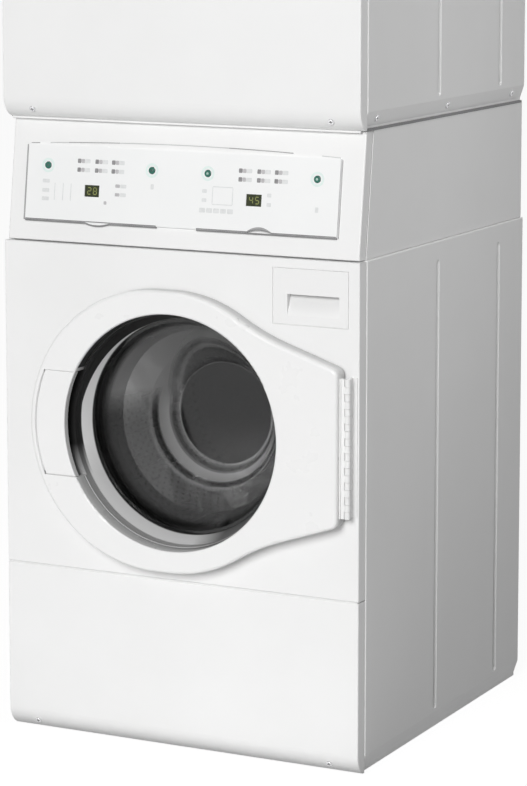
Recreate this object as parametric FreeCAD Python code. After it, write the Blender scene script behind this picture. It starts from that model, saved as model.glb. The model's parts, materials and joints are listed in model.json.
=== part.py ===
import FreeCAD, Part
import math
import os
from FreeCAD import Vector

# A front loading washer with a vented dryer stacked on it, in millimetres.
# X runs to the viewer's right, Y runs to the back and Z runs up from the floor.
# Depths are counted from the plane of the front panels, and grow to the back.

# Cabinet
CAB_W = 683.0            # over the side panels
CAB_D = 705.0            # front panels to rear flanges
FOOT_GAP = 3.0           # floor to the underside of the base
WASHER_H = 867.0         # washer base to the console seam
CONSOLE_H = 214.0        # console seam to the dryer base
DRYER_H = 900.0          # dryer base to the top
LOWER_PANEL_H = 297.0    # washer's lower panel
DRYER_LOWER_H = 288.0    # dryer's lower panel
TOP_H = 24.0             # skirt of the top panel
SHEET = 1.2              # cabinet steel
BEND_RATIO = 2.0         # outer bend radius over the sheet
SEAM = 2.0               # gap between front panels
WRAP = 26.0              # front panels turn round the sides this far
WRAP_GAP = 0.5           # wrap to side panel
PANEL_SET = 1.5          # front panels stand in from the side panels
FLANGE = 20.0            # folded edges of the side panels
TOE_H = 35.0             # rolled toe of the lower panels
TOE_IN = 22.0
BAND_H = 30.0            # foot of the side panels, which slopes in
BAND_IN = 8.0
BAND_FOOT = 6.0          # upright edge under the slope
BASE_T = 2.0             # base tray steel
FIT = 0.3                # easy fit between fixed pieces
RUN = 0.05               # running clearance of a shaft or a pin
RIB_FRONT = 315.0        # pressed ribs of the side panels, depth of each
RIB_REAR = 587.0
RIB_HALF = 8.0
RIB_DEEP = 4.0
RIB_FOOT = 44.0          # rib end above the base
RIB_HEAD = 40.0          # rib end below the panel top
SCREW_R = 5.5
SCREW_H = 2.0
SCREW_FRONT = 68.0       # screws in the dryer's sloping foot, from the front and from the back
SCREW_REAR = 54.0
TOE_SCREW_IN = 57.0      # toe screws, from the cabinet's sides
REAR_SCREW_ROWS = 4
FOOT_R = 20.0
FOOT_PAD_H = 2.0
FOOT_NUT_R = 10.0
FOOT_IN = 60.0           # foot centre from the cabinet's edges

# Console
CONSOLE_SET = 4.0        # console stands in from the side panels
CONSOLE_FOOT_IN = 6.0    # depth of the fascia at the console seam
CONSOLE_TOP_IN = 34.0    # depth of the fascia at the dryer base
FASCIA_WRAP = 24.0
FASCIA_T = 2.5
OVERLAY_LEFT = 39.0      # overlay's ends from the cabinet's sides
OVERLAY_RIGHT = 47.0
OVERLAY_H = 130.0
OVERLAY_UP = 37.0        # overlay's lower edge, up the slope from the seam
OVERLAY_T = 4.0
OVERLAY_LAP = 12.0       # overlay laps the fascia round the window
LENS_W = 46.0            # lens shaped tab and notch on the lower edge
LENS_H = 4.0
GROUP_SPREAD = 12.5      # control groups stand this much wider than the overlay's halves
BUTTON_SPREAD = 204.0    # the two buttons of one group
BUTTON_UP = 94.5         # above the overlay's lower edge
BUTTON_R = 6.0
BUTTON_GAP = 0.4
BUTTON_PROUD = 1.8
BUTTON_RIM = 2.0
BUTTON_RIM_T = 1.5
DISPLAY_W = 28.0
DISPLAY_H = 19.5
DISPLAY_SHIFT = -13.0    # from the middle of its group
DISPLAY_UP = 54.0
DISPLAY_SINK = 1.0
BOARD_GAP = 10.0         # overlay's back to the board
BOARD_T = 1.6
BOARD_EDGE = 22.0        # board is smaller than the overlay all round
STANDOFF_R = 4.0

# Washer door
DOOR_UP = 559.0          # door and drum axis above the washer base
DOOR_PROUD = 34.0
DOOR_BACK = 3.0          # door ring to the front panel
DOOR_R = 241.5
DOOR_STRETCH = 30.0      # the ring is wider on the grip side
DOOR_OPEN_R = 203.0
DOOR_WALL = 3.0
DOOR_ROUND = 6.0
DOOR_EDGE_H = 262.0      # height of the hinge side edge
DOOR_CORNER = 14.0
FLARE_R = 400.0          # hollow curve from the ring to the flank
FLARE_ANGLE = 18.5       # slope of the flank, degrees
HANDLE_H = 184.0
HANDLE_RIM = 10.0        # ring left standing outside the grip
HANDLE_GAP = 2.0
HANDLE_END_GAP = 1.0
HANDLE_T = 12.0
HANDLE_ROUND = 2.5
PIVOT_IN = 39.5          # grip pivot from the door's outer edge
PIVOT_DEEP = 8.0         # grip pivot behind the door's front
PIVOT_R = 3.0
PIVOT_LEN = 8.0
PIVOT_BOSS = 8.0
HOOK_IN = 11.0           # hook from the pivot towards the outer edge
HOOK_T = 7.0
HOOK_H = 20.0
HOOK_REACH = 20.0        # hook behind the front panel
HOOK_SWEEP = 10.0        # room for the hook's swing
HOOK_GAP = 3.0
LOCK_WALL = 4.0
LOCK_H = 70.0
LOCK_D = 40.0
TRIM_PLATE = 2.0         # back cover of the door
TRIM_EDGE = 2.0          # back cover is smaller than the door
TRIM_R = 201.5
TRIM_WALL = 2.0
TRIM_FRONT = -8.0        # depth of the inner rim's front edge
TRIM_DEEP = 46.0
BEZEL_FRONT = 10.0       # depth where the inner rim starts to narrow towards the glass
TRIM_LIP = 3.0
TRIM_NOTCH = 8.0         # finger room behind the grip
GLASS_T = 5.0
GLASS_SEAT = 13.5        # glass rim under the trim's lip
BOWL_MID_D = 95.0        # shoulders of the glass bowl, depth and radius
BOWL_MID_R = 165.0
BOWL_STEP_D = 130.0
BOWL_STEP_R = 131.0
BOWL_NOSE_D = 160.0
BOWL_NOSE_R = 108.0
BOWL_TIP_D = 176.0
BOWL_TIP_R = 92.0
HINGE_IN = 13.5          # hinge pin from the cabinet's right side
HINGE_EDGE = 13.0        # door's edge to the hinge pin
HINGE_OUT = 18.0         # hinge pin in front of the front panels
KNUCKLE_R = 5.0
PIN_R = 2.5
LEAF_T = 2.0
LEAF_W = 14.5
KNUCKLES = 19
KNUCKLE_GAP = 0.5

# Washer inside
PANEL_HOLE_R = 212.0
GASKET_T = 3.0
GASKET_R = 208.0
GASKET_LIP = 10.0
GASKET_FOLD = 10.0
TUB_FRONT = 104.0
TUB_REAR = 185.0         # tub's back to the cabinet's back
TUB_R = 256.0
TUB_WALL = 5.0
TUB_MOUTH_R = 208.0
HUB_R = 45.0
HUB_IN = 12.0            # hub starts this far inside the tub
HUB_L = 44.0
BEARING_R = 26.0
BEARING_L = 12.0
SHAFT_R = 15.0
DRUM_GAP = 20.0          # drum's shell to the outside of the tub's
DRUM_SHEET = 1.5
DRUM_FRONT = 122.0
DRUM_TAIL = 30.0         # drum's back to the tub's back
DRUM_MOUTH_R = 196.0
DRUM_LIP = 10.0
LIFTERS = 3
LIFTER_H = 44.0
LIFTER_FOOT = 60.0
LIFTER_TOP = 24.0
LIFTER_WALL = 3.0
LIFTER_GAP = 24.0        # lifter ends from the drum's walls
SPIDER_R = 60.0
SPIDER_T = 10.0
SPIDER_ARM_W = 50.0
SPIDER_IN = 31.0         # arm ends from the drum's shell
PULLEY_R = 140.0
PULLEY_GAP = 8.0         # hub to the drum pulley
PULLEY_W = 20.0
PULLEY_RIM = 12.0
PULLEY_WEB = 6.0
PULLEY_HUB_R = 30.0
MOTOR_DROP = 357.0       # washer motor under the drum axis
MOTOR_R = 62.0
MOTOR_L = 155.0
MOTOR_TAIL = 15.0        # motor's back to the motor pulley
MOTOR_SADDLE = 40.0
MOTOR_SHAFT_R = 8.0
MOTOR_PULLEY_R = 20.0
BELT_T = 3.0
BELT_W = 14.0
BELT_GAP = 0.3
WEIGHT_START = 5 / 19    # share of the tub's face that stays free between the seal and the weights
WEIGHT_EDGE = 3.0        # weights' rim from the tub's rim
WEIGHT_L = 32.0
WEIGHT_CLEAR = 100.0     # weights end this far above and below the axis
EAR_UP = 60.0            # spring ears above the drum axis
EAR_T = 20.0
EAR_W = 30.0
SPRING_R = 14.0
SPRING_BORE = 10.0
SPRING_IN = 41.5         # spring axis from the cabinet's side
HANGER_DROP = 34.0       # spring hanger under the console seam
HANGER_T = 4.0
HANGER_W = 40.0
HANGER_REACH = 58.0
DAMPER_X = 150.0
DAMPER_R = 16.0
DAMPER_BORE = 12.5
DAMPER_H = 145.0
DAMPER_FLOOR = 20.0
ROD_R = 6.0
ROD_UP = 87.0            # rod end above the damper's foot
PISTON_H = 16.0
LUG_IN = 29.0            # damper lug's underside above the tub's lowest point
LUG_T = 34.0
LUG_W = 24.0
PUMP_X = 200.0
PUMP_UP = 97.0
PUMP_R = 44.0
PUMP_L = 100.0
PUMP_REAR = 45.0         # pump to the cabinet's back
PUMP_FOOT = 50.0
SPIGOT_R = 11.0
SPIGOT_OUT = 28.0
VALVE_X = 170.0          # valves stand left of the middle
VALVE_PITCH = 70.0
VALVE_DROP = 70.0        # under the console seam
VALVE_W = 46.0
VALVE_L = 42.0
THREAD_R = 13.2
THREAD_OUT = 22.0
SHOULDER = 2.0           # shoulder of a port that fills its hole in the rear panel

# Dispenser drawer
DRAWER_IN = 91.0         # drawer middle from the cabinet's right side
DRAWER_W = 140.0
DRAWER_H = 96.0
DRAWER_DROP = 16.0       # cut-out under the console seam
DRAWER_GAP = 1.0
DRAWER_FACE = 18.0
DRAWER_LEN = 215.0
TRAY_SIDE = 12.0
TRAY_LIFT = 10.0
TRAY_DROP = 14.0
TRAY_WALL = 2.0
TRAY_CELLS = 3
HOUSING_WALL = 2.5
HOUSING_HEAD = 6.0
HOUSING_LIP = 4.0
HOUSING_TAIL = 12.0
PULL_W = 95.0
PULL_H = 36.0
PULL_UP = 16.0
PULL_DEEP = 14.0
PULL_SHIFT = 5.0

# Dryer
DRYER_AXIS_UP = 594.0    # drum and door axis above the dryer base
DRYER_OPEN_R = 195.0
DRYER_DOOR = 480.0
DRYER_DOOR_PROUD = 24.0
DRYER_DOOR_BACK = 3.0
DRYER_DOOR_CORNER = 46.0
DRYER_DOOR_ROUND = 10.0
DRYER_DOOR_WALL = 3.0
GRIP_H = 130.0
GRIP_W = 30.0
GRIP_D = 15.0
LINER_T = 2.0
LINER_EDGE = 3.0
PLUG_R = 188.0
PLUG_DEEP = 30.0
PLUG_WALL = 2.5
DRYER_HINGE_IN = 10.0    # hinge pin past the door's edge
DRYER_HINGE_OUT = 12.0
DRYER_HINGE_H = 60.0
DRYER_HINGE_SPREAD = 300.0
DRYER_LEAF_W = 20.0
DRYER_KNUCKLES = 3
BULKHEAD_D = 88.0
BULKHEAD_T = 2.0
COLLAR_T = 2.0
GLIDE_R = 214.5
GLIDE_T = 9.0
GLIDE_L = 22.0
GLIDE_GAP = 0.5
DRYER_DRUM_R = 285.0
DRYER_DRUM_SHEET = 1.5
DRYER_DRUM_FRONT = 96.0
DRYER_DRUM_TAIL = 65.0   # drum's back to the cabinet's back
DRYER_LIP = 12.0
BAFFLES = 3
BAFFLE_H = 60.0
BAFFLE_FOOT = 70.0
BAFFLE_TOP = 30.0
BAFFLE_GAP = 30.0
STUB_R = 12.0
STUB_L = 50.0
BOSS_R = 25.0
BOSS_GAP = 5.0           # drum's back to the bearing boss
DRYER_MOTOR_X = -150.0
DRYER_MOTOR_UP = 120.0
DRYER_MOTOR_R = 60.0
DRYER_MOTOR_L = 135.0
DRYER_MOTOR_REAR = 145.0 # motor's back to the cabinet's back
DRYER_MOTOR_FOOT = 40.0
ROTOR_R = 8.0
ROTOR_TAIL = 15.0
ROTOR_PULLEY_R = 22.0
DRYER_BELT_GAP = 13.0    # belt to the motor's front
DRYER_BELT_W = 12.0
WHEEL_R = 85.0
WHEEL_EYE_R = 62.0
WHEEL_FRONT = 106.0
WHEEL_BACK = 150.0
WHEEL_T = 2.0
WHEEL_BLADES = 16
DUCT_T = 2.0
SCROLL_R = 100.0
SCROLL_FRONT = 98.0
SCROLL_BACK = 158.0
PLENUM_FRONT = 50.0
PLENUM_H = 170.0
PLENUM_UP = 50.0
CHUTE_HALF = 106.0
CHUTE_D = 28.0
EXHAUST_X = 10.0
EXHAUST_UP = 92.0
EXHAUST_R = 50.0
EXHAUST_T = 1.0
EXHAUST_BEAD = 3.0
DUCT_PROUD = 34.0
OUTLET_HALF = 56.0
FILTER_T = 12.0
FILTER_BAR = 8.0
FILTER_SLACK = 0.5
FILTER_H = 200.0
FILTER_GRIP = 6.0        # filter stands above the collar
HEATER_W = 180.0
HEATER_D = 140.0
HEATER_H = 290.0
HEATER_IN = 12.0         # heater from the cabinet's right side
HEATER_T = 2.0
LOUVRE_W = 90.0          # air slots in the dryer's rear panel
LOUVRE_H = 6.0
LOUVRE_PITCH = 18.0
LOUVRES = 12
LOUVRE_UP = 150.0
GLAND_R = 14.3
GLAND_X = -250.0
GLAND_UP = 130.0

# Places that follow from the sizes
HALF = CAB_W / 2
BEND = BEND_RATIO * SHEET
Y_FRONT = (DOOR_PROUD - CAB_D - DUCT_PROUD) / 2
Z_BASE = FOOT_GAP
Z_LOW_SEAM = Z_BASE + LOWER_PANEL_H
Z_CONSOLE = Z_BASE + WASHER_H
Z_DRYER = Z_CONSOLE + CONSOLE_H
Z_DRYER_SEAM = Z_DRYER + DRYER_LOWER_H
Z_TOP = Z_DRYER + DRYER_H
Z_LID = Z_TOP - TOP_H
Z_AXIS = Z_BASE + DOOR_UP
Z_DRYER_AXIS = Z_DRYER + DRYER_AXIS_UP
SIDE_FRONT = WRAP + WRAP_GAP
INNER_HALF = HALF - SHEET
FRONT_HALF = HALF - PANEL_SET
TOE_R = (TOE_H ** 2 + TOE_IN ** 2) / (2 * TOE_IN)
REAR_SKIN = CAB_D - 2 * SHEET
TILT = math.degrees(math.atan2(CONSOLE_TOP_IN - CONSOLE_FOOT_IN, CONSOLE_H))
CONSOLE_HALF = HALF - CONSOLE_SET
OVERLAY_X0 = OVERLAY_LEFT - HALF
OVERLAY_X1 = HALF - OVERLAY_RIGHT
OVERLAY_MID = (OVERLAY_X0 + OVERLAY_X1) / 2
GROUP_HALF = (OVERLAY_X1 - OVERLAY_X0) / 4 + GROUP_SPREAD / 2
GROUPS = (OVERLAY_MID - GROUP_HALF, OVERLAY_MID + GROUP_HALF)
HINGE_X = HALF - HINGE_IN
DOOR_EDGE_X = HINGE_X - HINGE_EDGE
TUB_BACK = CAB_D - TUB_REAR
TUB_MID = (TUB_FRONT + TUB_BACK) / 2
HUB_FRONT = TUB_BACK - HUB_IN
HUB_BACK = HUB_FRONT + HUB_L
DRUM_BACK = TUB_BACK - DRUM_TAIL
DRUM_R = TUB_R - DRUM_GAP
SPIDER_ARM_R = DRUM_R - SPIDER_IN
SEAL_LIP_R = GASKET_R + GASKET_LIP
WEIGHT_OUT_R = TUB_R - WEIGHT_EDGE
WEIGHT_IN_R = SEAL_LIP_R + WEIGHT_START * (TUB_R - SEAL_LIP_R)
LUG_DROP = TUB_R - LUG_IN
PULLEY_FRONT = HUB_BACK + PULLEY_GAP
MOTOR_BACK = PULLEY_FRONT - MOTOR_TAIL
MOTOR_FRONT = MOTOR_BACK - MOTOR_L
SPRING_X = HALF - SPRING_IN
DRYER_DRUM_BACK = CAB_D - DRYER_DRUM_TAIL
DRYER_MOTOR_BACK = CAB_D - DRYER_MOTOR_REAR
DRYER_MOTOR_FRONT = DRYER_MOTOR_BACK - DRYER_MOTOR_L
DRYER_BELT_D = DRYER_MOTOR_FRONT - DRYER_BELT_GAP - DRYER_BELT_W
TRAVEL = Vector(0, 1, 0)
UP = Vector(0, 0, 1)
ACROSS = Vector(1, 0, 0)
PAST = 1.0               # cuts run this far past the faces they open
EPS = 0.01


def deep(depth):
    """Y of a depth behind the front panels."""
    return Y_FRONT + depth


def box(x0, x1, d0, d1, z0, z1):
    return Part.makeBox(x1 - x0, d1 - d0, z1 - z0, Vector(x0, deep(d0), z0))


def rod_y(x, z, radius, d0, d1):
    return Part.makeCylinder(radius, d1 - d0, Vector(x, deep(d0), z), TRAVEL)


def rod_z(x, depth, radius, z0, z1):
    return Part.makeCylinder(radius, z1 - z0, Vector(x, deep(depth), z0), UP)


def tube_y(x, z, r_out, r_in, d0, d1):
    return rod_y(x, z, r_out, d0, d1).cut(rod_y(x, z, r_in, d0 - PAST, d1 + PAST))


def lathe_y(x, z, profile):
    """A solid turned about an axis along Y, from points of depth and radius."""
    points = [Vector(x + radius, deep(depth), z) for depth, radius in profile]
    face = Part.Face(Part.makePolygon(points + points[:1]))
    return face.revolve(Vector(x, deep(0), z), TRAVEL, 360)


def prism_x(profile, x0, x1):
    """A solid drawn along X, from points of depth and height."""
    points = [Vector(x0, deep(depth), z) for depth, z in profile]
    face = Part.Face(Part.makePolygon(points + points[:1]))
    return face.extrude(Vector(x1 - x0, 0, 0))


def prism_y(profile, d0, d1):
    """A solid drawn along Y, from points of X and height."""
    points = [Vector(x, deep(d0), z) for x, z in profile]
    face = Part.Face(Part.makePolygon(points + points[:1]))
    return face.extrude(Vector(0, d1 - d0, 0))


def union(shapes):
    first, rest = shapes[0], shapes[1:]
    return first.fuse(rest).removeSplitter()


def mirrored(shape):
    return shape.mirror(Vector(0, 0, 0), ACROSS)


def arc(a, b, c):
    return Part.Arc(a, b, c).toShape()


def line(a, b):
    return Part.LineSegment(a, b).toShape()


def inset(points, gap):
    """A convex outline, with every side moved inward by gap."""
    middle = [sum(p[i] for p in points) / len(points) for i in (0, 1)]
    lines = []
    for (ax, ay), (bx, by) in zip(points, points[1:] + points[:1]):
        length = math.hypot(bx - ax, by - ay)
        nx, ny = (ay - by) / length, (bx - ax) / length
        if (middle[0] - ax) * nx + (middle[1] - ay) * ny < 0:
            nx, ny = -nx, -ny
        lines.append((nx, ny, nx * ax + ny * ay + gap))
    corners = []
    for (a, b, c), (d, e, f) in zip(lines[-1:] + lines[:-1], lines):
        det = a * e - b * d
        corners.append(((c * e - b * f) / det, (a * f - c * d) / det))
    return corners


def fillet(shape, radius, wanted):
    """Rounds the edges whose bounding box passes the test."""
    return shape.makeFillet(radius, [edge for edge in shape.Edges if wanted(edge.BoundBox)])


def same(a, b):
    return abs(a - b) < EPS


def at_depth(depth):
    """A test for edges that lie in one plane behind the front."""
    return lambda b: same(b.YMin, deep(depth)) and same(b.YMax, deep(depth))


def save(name, *solids):
    shape = solids[0] if len(solids) == 1 else Part.makeCompound(list(solids))
    if not shape.isValid():
        print("not valid:", name)
    shape.exportStep("parts/" + name + ".step")


# Cabinet panels

def front_face(x, z0, z1, back, skin, toe):
    """Side view of a front panel, drawn in by a skin, with a rolled toe if asked."""
    low, high = z0 + skin, z1 - skin
    corners = [Vector(x, deep(skin), high), Vector(x, deep(back), high), Vector(x, deep(back), low)]
    if not toe:
        corners.append(Vector(x, deep(skin), low))
        return Part.Face(Part.makePolygon(corners + corners[:1]))
    radius = TOE_R - skin
    turn = math.asin((TOE_H - skin) / radius)

    def on_roll(angle):
        return Vector(x, deep(TOE_R - radius * math.cos(angle)), z0 + TOE_H - radius * math.sin(angle))

    corners = [on_roll(0)] + corners + [on_roll(turn)]
    edges = [line(a, b) for a, b in zip(corners, corners[1:])]
    edges.append(arc(on_roll(turn), on_roll(turn / 2), on_roll(0)))
    return Part.Face(Part.Wire(edges))


def tray(z0, z1, toe=False):
    """A front panel folded from one sheet, with wraps and returns, open at the back."""
    block = front_face(-FRONT_HALF, z0, z1, WRAP, 0, toe).extrude(Vector(2 * FRONT_HALF, 0, 0))
    rear, roll = deep(WRAP), z0 + TOE_H

    def folded(b):
        across = same(b.ZMin, b.ZMax) and b.XMax - b.XMin > WRAP
        return b.YMax < rear - EPS and not (toe and across and b.ZMax < roll + EPS)

    block = fillet(block, BEND, folded)
    core = front_face(SHEET - FRONT_HALF, z0, z1, WRAP + SHEET, SHEET, toe)
    return block.cut(core.extrude(Vector(2 * (FRONT_HALF - SHEET), 0, 0)))


def side_sheet(z0, z1):
    """Right side sheet with folded edges, and a foot that slopes in."""
    foot, inner = HALF - BAND_IN, HALF - FLANGE
    skin = [(foot, z0 + BAND_FOOT), (HALF, z0 + BAND_H)]
    block = prism_y([(foot, z0)] + skin + [(HALF, z1), (inner, z1), (inner, z0)], SIDE_FRONT, CAB_D)

    def folded(b):
        if b.YMax - b.YMin > EPS:
            return same(b.ZMin, z1) and same(b.XMin, HALF)
        return b.XMin > foot - EPS and b.ZMax - b.ZMin > EPS

    block = fillet(block, BEND, folded)
    hollow = [(x - SHEET, z) for x, z in [(foot, z0 - PAST)] + skin + [(HALF, z1 - SHEET)]]
    hollow += [(inner - PAST, z1 - SHEET), (inner - PAST, z0 - PAST)]
    return block.cut(prism_y(hollow, SIDE_FRONT + SHEET, CAB_D - SHEET))


def rib(depth, z0, z1, swell):
    """A bead that lies across the side sheet, with round ends."""
    radius = (RIB_HALF ** 2 + RIB_DEEP ** 2) / (2 * RIB_DEEP)
    x = HALF + radius - RIB_DEEP
    ends = [Part.makeSphere(radius + swell, Vector(x, deep(depth), z)) for z in (z0, z1)]
    return union([rod_z(x, depth, radius + swell, z0, z1)] + ends)


def side_panel(z0, z1, hanger=None):
    """Right side panel with two pressed ribs."""
    panel = side_sheet(z0, z1)
    for depth in (RIB_FRONT, RIB_REAR):
        bead = rib(depth, z0 + RIB_FOOT, z1 - RIB_HEAD, SHEET)
        bead = bead.common(box(0, HALF, 0, CAB_D, z0, z1))
        panel = union([panel, bead]).cut(rib(depth, z0 + RIB_FOOT, z1 - RIB_HEAD, 0))
    if hanger:
        panel = union([panel, hanger])
    return panel


def base_tray(z0):
    """Base of either machine, between the feet of its side panels."""
    side = HALF - BAND_IN - SHEET
    front, back = SIDE_FRONT + SHEET, CAB_D - SHEET
    block = box(-side, side, front, back, z0, z0 + BAND_H)
    core = box(BASE_T - side, side - BASE_T, front + BASE_T, back - BASE_T, z0 + BASE_T, z0 + BAND_H + PAST)
    return block.cut(core)


def rear_panel(z0, z1):
    """Back sheet behind the folded rear edges of the side panels."""
    side = INNER_HALF - FIT
    return box(-side, side, REAR_SKIN, REAR_SKIN + SHEET, z0 + BAND_H + SHEET + FIT, z1 - SHEET - FIT)


def screw(x, depth, z, direction):
    """A low round screw head that stands on a face."""
    head = Part.makeCylinder(SCREW_R, SCREW_H, Vector(x, deep(depth), z), direction)
    tip = max(head.Edges, key=lambda e: e.CenterOfMass.dot(direction))
    return head.makeFillet(SCREW_H / 2, [tip])


def panel_screws():
    heads = []
    turn = math.asin(TOE_H / TOE_R) / 2
    toe_depth, toe_drop = TOE_R * (1 - math.cos(turn)), TOE_R * math.sin(turn)
    toe_out = Vector(0, -math.cos(turn), -math.sin(turn))
    for z0 in (Z_BASE, Z_DRYER):
        for x in (TOE_SCREW_IN - HALF, HALF - TOE_SCREW_IN):
            heads.append(screw(x, toe_depth, z0 + TOE_H - toe_drop, toe_out))
    slope_out = Vector(BAND_H - BAND_FOOT, 0, -BAND_IN).normalize()
    slope_z = Z_DRYER + (BAND_FOOT + BAND_H) / 2
    for depth in (SCREW_FRONT, (SCREW_FRONT + CAB_D - SCREW_REAR) / 2, CAB_D - SCREW_REAR):
        right = screw(HALF - BAND_IN / 2, depth, slope_z, slope_out)
        heads += [right, mirrored(right)]
    for z0, z1 in ((Z_BASE, Z_CONSOLE), (Z_DRYER, Z_LID)):
        pitch = (z1 - z0) / REAR_SCREW_ROWS
        for row in range(REAR_SCREW_ROWS):
            right = screw(HALF - FLANGE / 2, CAB_D, z0 + (row + 0.5) * pitch, TRAVEL)
            heads += [right, mirrored(right)]
    return heads


def levelling_feet():
    feet = []
    for x in (FOOT_IN - HALF, HALF - FOOT_IN):
        for depth in (FOOT_IN, CAB_D - FOOT_IN):
            pad = rod_z(x, depth, FOOT_R, 0, FOOT_PAD_H)
            nut = Part.makePolygon([
                Vector(x + FOOT_NUT_R * math.cos(k * math.pi / 3),
                       deep(depth) + FOOT_NUT_R * math.sin(k * math.pi / 3), FOOT_PAD_H)
                for k in range(7)])
            nut = Part.Face(nut).extrude(Vector(0, 0, FOOT_GAP - FOOT_PAD_H))
            feet.append(union([pad, nut]))
    return feet


def top_panel():
    block = box(-HALF, HALF, 0, CAB_D, Z_LID, Z_TOP)
    block = fillet(block, BEND, lambda b: b.ZMax > Z_LID + EPS)
    core = box(-INNER_HALF, INNER_HALF, SHEET, CAB_D - SHEET, Z_LID - PAST, Z_TOP - SHEET)
    return block.cut(core)


# Console

def tilted(shape):
    """Leans a shape back with the console, about the fascia's lower edge."""
    leaning = shape.copy()
    leaning.rotate(Vector(0, deep(CONSOLE_FOOT_IN), Z_CONSOLE), ACROSS, -TILT)
    return leaning


def on_slope(u0, u1, v0, v1, out0, out1):
    """A box on the fascia: across, up the slope and out from its face."""
    return tilted(box(u0, u1, CONSOLE_FOOT_IN - out1, CONSOLE_FOOT_IN - out0,
                      Z_CONSOLE + v0, Z_CONSOLE + v1))


def peg(u, v, radius, out0, out1):
    """A round peg square to the fascia."""
    return tilted(rod_y(u, Z_CONSOLE + v, radius, CONSOLE_FOOT_IN - out1, CONSOLE_FOOT_IN - out0))


def fascia_profile(front_gap, back, z0, z1):
    """Slanted strip between two depths behind the fascia's face."""
    lean = (CONSOLE_TOP_IN - CONSOLE_FOOT_IN) / CONSOLE_H

    def face(z):
        return CONSOLE_FOOT_IN + lean * (z - Z_CONSOLE)

    return [(face(z0) + front_gap, z0), (face(z1) + front_gap, z1),
            (face(z1) + back, z1), (face(z0) + back, z0)]


def console_fascia():
    z0, z1 = Z_CONSOLE + SEAM / 2, Z_DRYER - SEAM / 2
    half = CONSOLE_HALF - PANEL_SET
    block = prism_x(fascia_profile(0, FASCIA_WRAP, z0, z1), -half, half)
    lean = math.radians(TILT)

    def front_edge(b):
        middle_d = (b.YMin + b.YMax) / 2 - deep(CONSOLE_FOOT_IN)
        middle_z = (b.ZMin + b.ZMax) / 2 - Z_CONSOLE
        return abs(middle_d - middle_z * math.tan(lean)) < EPS

    block = fillet(block, FASCIA_T, front_edge)
    core = prism_x(inset(fascia_profile(0, FASCIA_WRAP + 2 * FASCIA_T, z0, z1), FASCIA_T),
                   FASCIA_T - half, half - FASCIA_T)
    window = on_slope(OVERLAY_X0 + OVERLAY_LAP, OVERLAY_X1 - OVERLAY_LAP,
                      OVERLAY_UP + OVERLAY_LAP, OVERLAY_UP + OVERLAY_H - OVERLAY_LAP,
                      -FASCIA_T - PAST, PAST)
    return block.cut(core).cut(window)


def console_wrap():
    """Sides, back and deck of the console, which carries the dryer."""
    front = FASCIA_WRAP + WRAP_GAP
    back = CAB_D - CONSOLE_TOP_IN
    profile = fascia_profile(front, back, Z_CONSOLE, Z_DRYER)
    profile[2] = (CAB_D, Z_DRYER)
    profile[3] = (CAB_D, Z_CONSOLE)
    block = prism_x(profile, -CONSOLE_HALF, CONSOLE_HALF)
    foremost = deep(CONSOLE_TOP_IN + front)
    block = fillet(block, BEND, lambda b: b.YMax > foremost + EPS)
    inner = inset(profile, SHEET)
    inner[0] = (profile[0][0] - FASCIA_WRAP, inner[0][1])
    inner[1] = (profile[1][0] - FASCIA_WRAP, inner[1][1])
    core = prism_x(inner, SHEET - CONSOLE_HALF, CONSOLE_HALF - SHEET)
    well = box(FLANGE - HALF, HALF - FLANGE, CONSOLE_TOP_IN + front, CAB_D - FLANGE,
               Z_CONSOLE - PAST, Z_CONSOLE + 2 * SHEET)
    return block.cut(core).cut(well)


def button_places():
    """Middle of each button, across and up the slope, washer pair first."""
    v = OVERLAY_UP + BUTTON_UP
    return [(group + side, v) for group in GROUPS for side in (-BUTTON_SPREAD / 2, BUTTON_SPREAD / 2)]


def display_places():
    v = OVERLAY_UP + DISPLAY_UP
    return [(group + DISPLAY_SHIFT, v) for group in GROUPS]


def control_overlay():
    """Raised plate with button holes, display windows and standoffs for the board."""
    v0, v1 = OVERLAY_UP, OVERLAY_UP + OVERLAY_H
    plate = on_slope(OVERLAY_X0, OVERLAY_X1, v0, v1, 0, OVERLAY_T)
    lens_r = (LENS_W ** 2 / 4 + LENS_H ** 2) / (2 * LENS_H)
    tab = peg(GROUPS[0], v0 - LENS_H + lens_r, lens_r, 0, OVERLAY_T)
    notch = peg(GROUPS[1], v0 + LENS_H - lens_r, lens_r, -PAST, OVERLAY_T + PAST)
    posts = []
    for u in (OVERLAY_X0 + BOARD_EDGE, OVERLAY_MID, OVERLAY_X1 - BOARD_EDGE):
        for v in (v0 + BOARD_EDGE, v1 - BOARD_EDGE):
            posts.append(peg(u, v, STANDOFF_R, -BOARD_GAP, 0))
    plate = union([plate, tab] + posts).cut(notch)
    for u, v in button_places():
        plate = plate.cut(peg(u, v, BUTTON_R + BUTTON_GAP, -PAST, OVERLAY_T + PAST))
    for u, v in display_places():
        half_w, half_h = DISPLAY_W / 2 + FIT, DISPLAY_H / 2 + FIT
        plate = plate.cut(on_slope(u - half_w, u + half_w, v - half_h, v + half_h, -PAST, OVERLAY_T + PAST))
    return plate


def control_displays():
    return [on_slope(u - DISPLAY_W / 2, u + DISPLAY_W / 2, v - DISPLAY_H / 2, v + DISPLAY_H / 2,
                     -BOARD_GAP, OVERLAY_T - DISPLAY_SINK) for u, v in display_places()]


def control_board():
    edge = BOARD_EDGE - STANDOFF_R
    return on_slope(OVERLAY_X0 + edge, OVERLAY_X1 - edge, OVERLAY_UP + edge,
                    OVERLAY_UP + OVERLAY_H - edge, -BOARD_GAP - BOARD_T, -BOARD_GAP)


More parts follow.
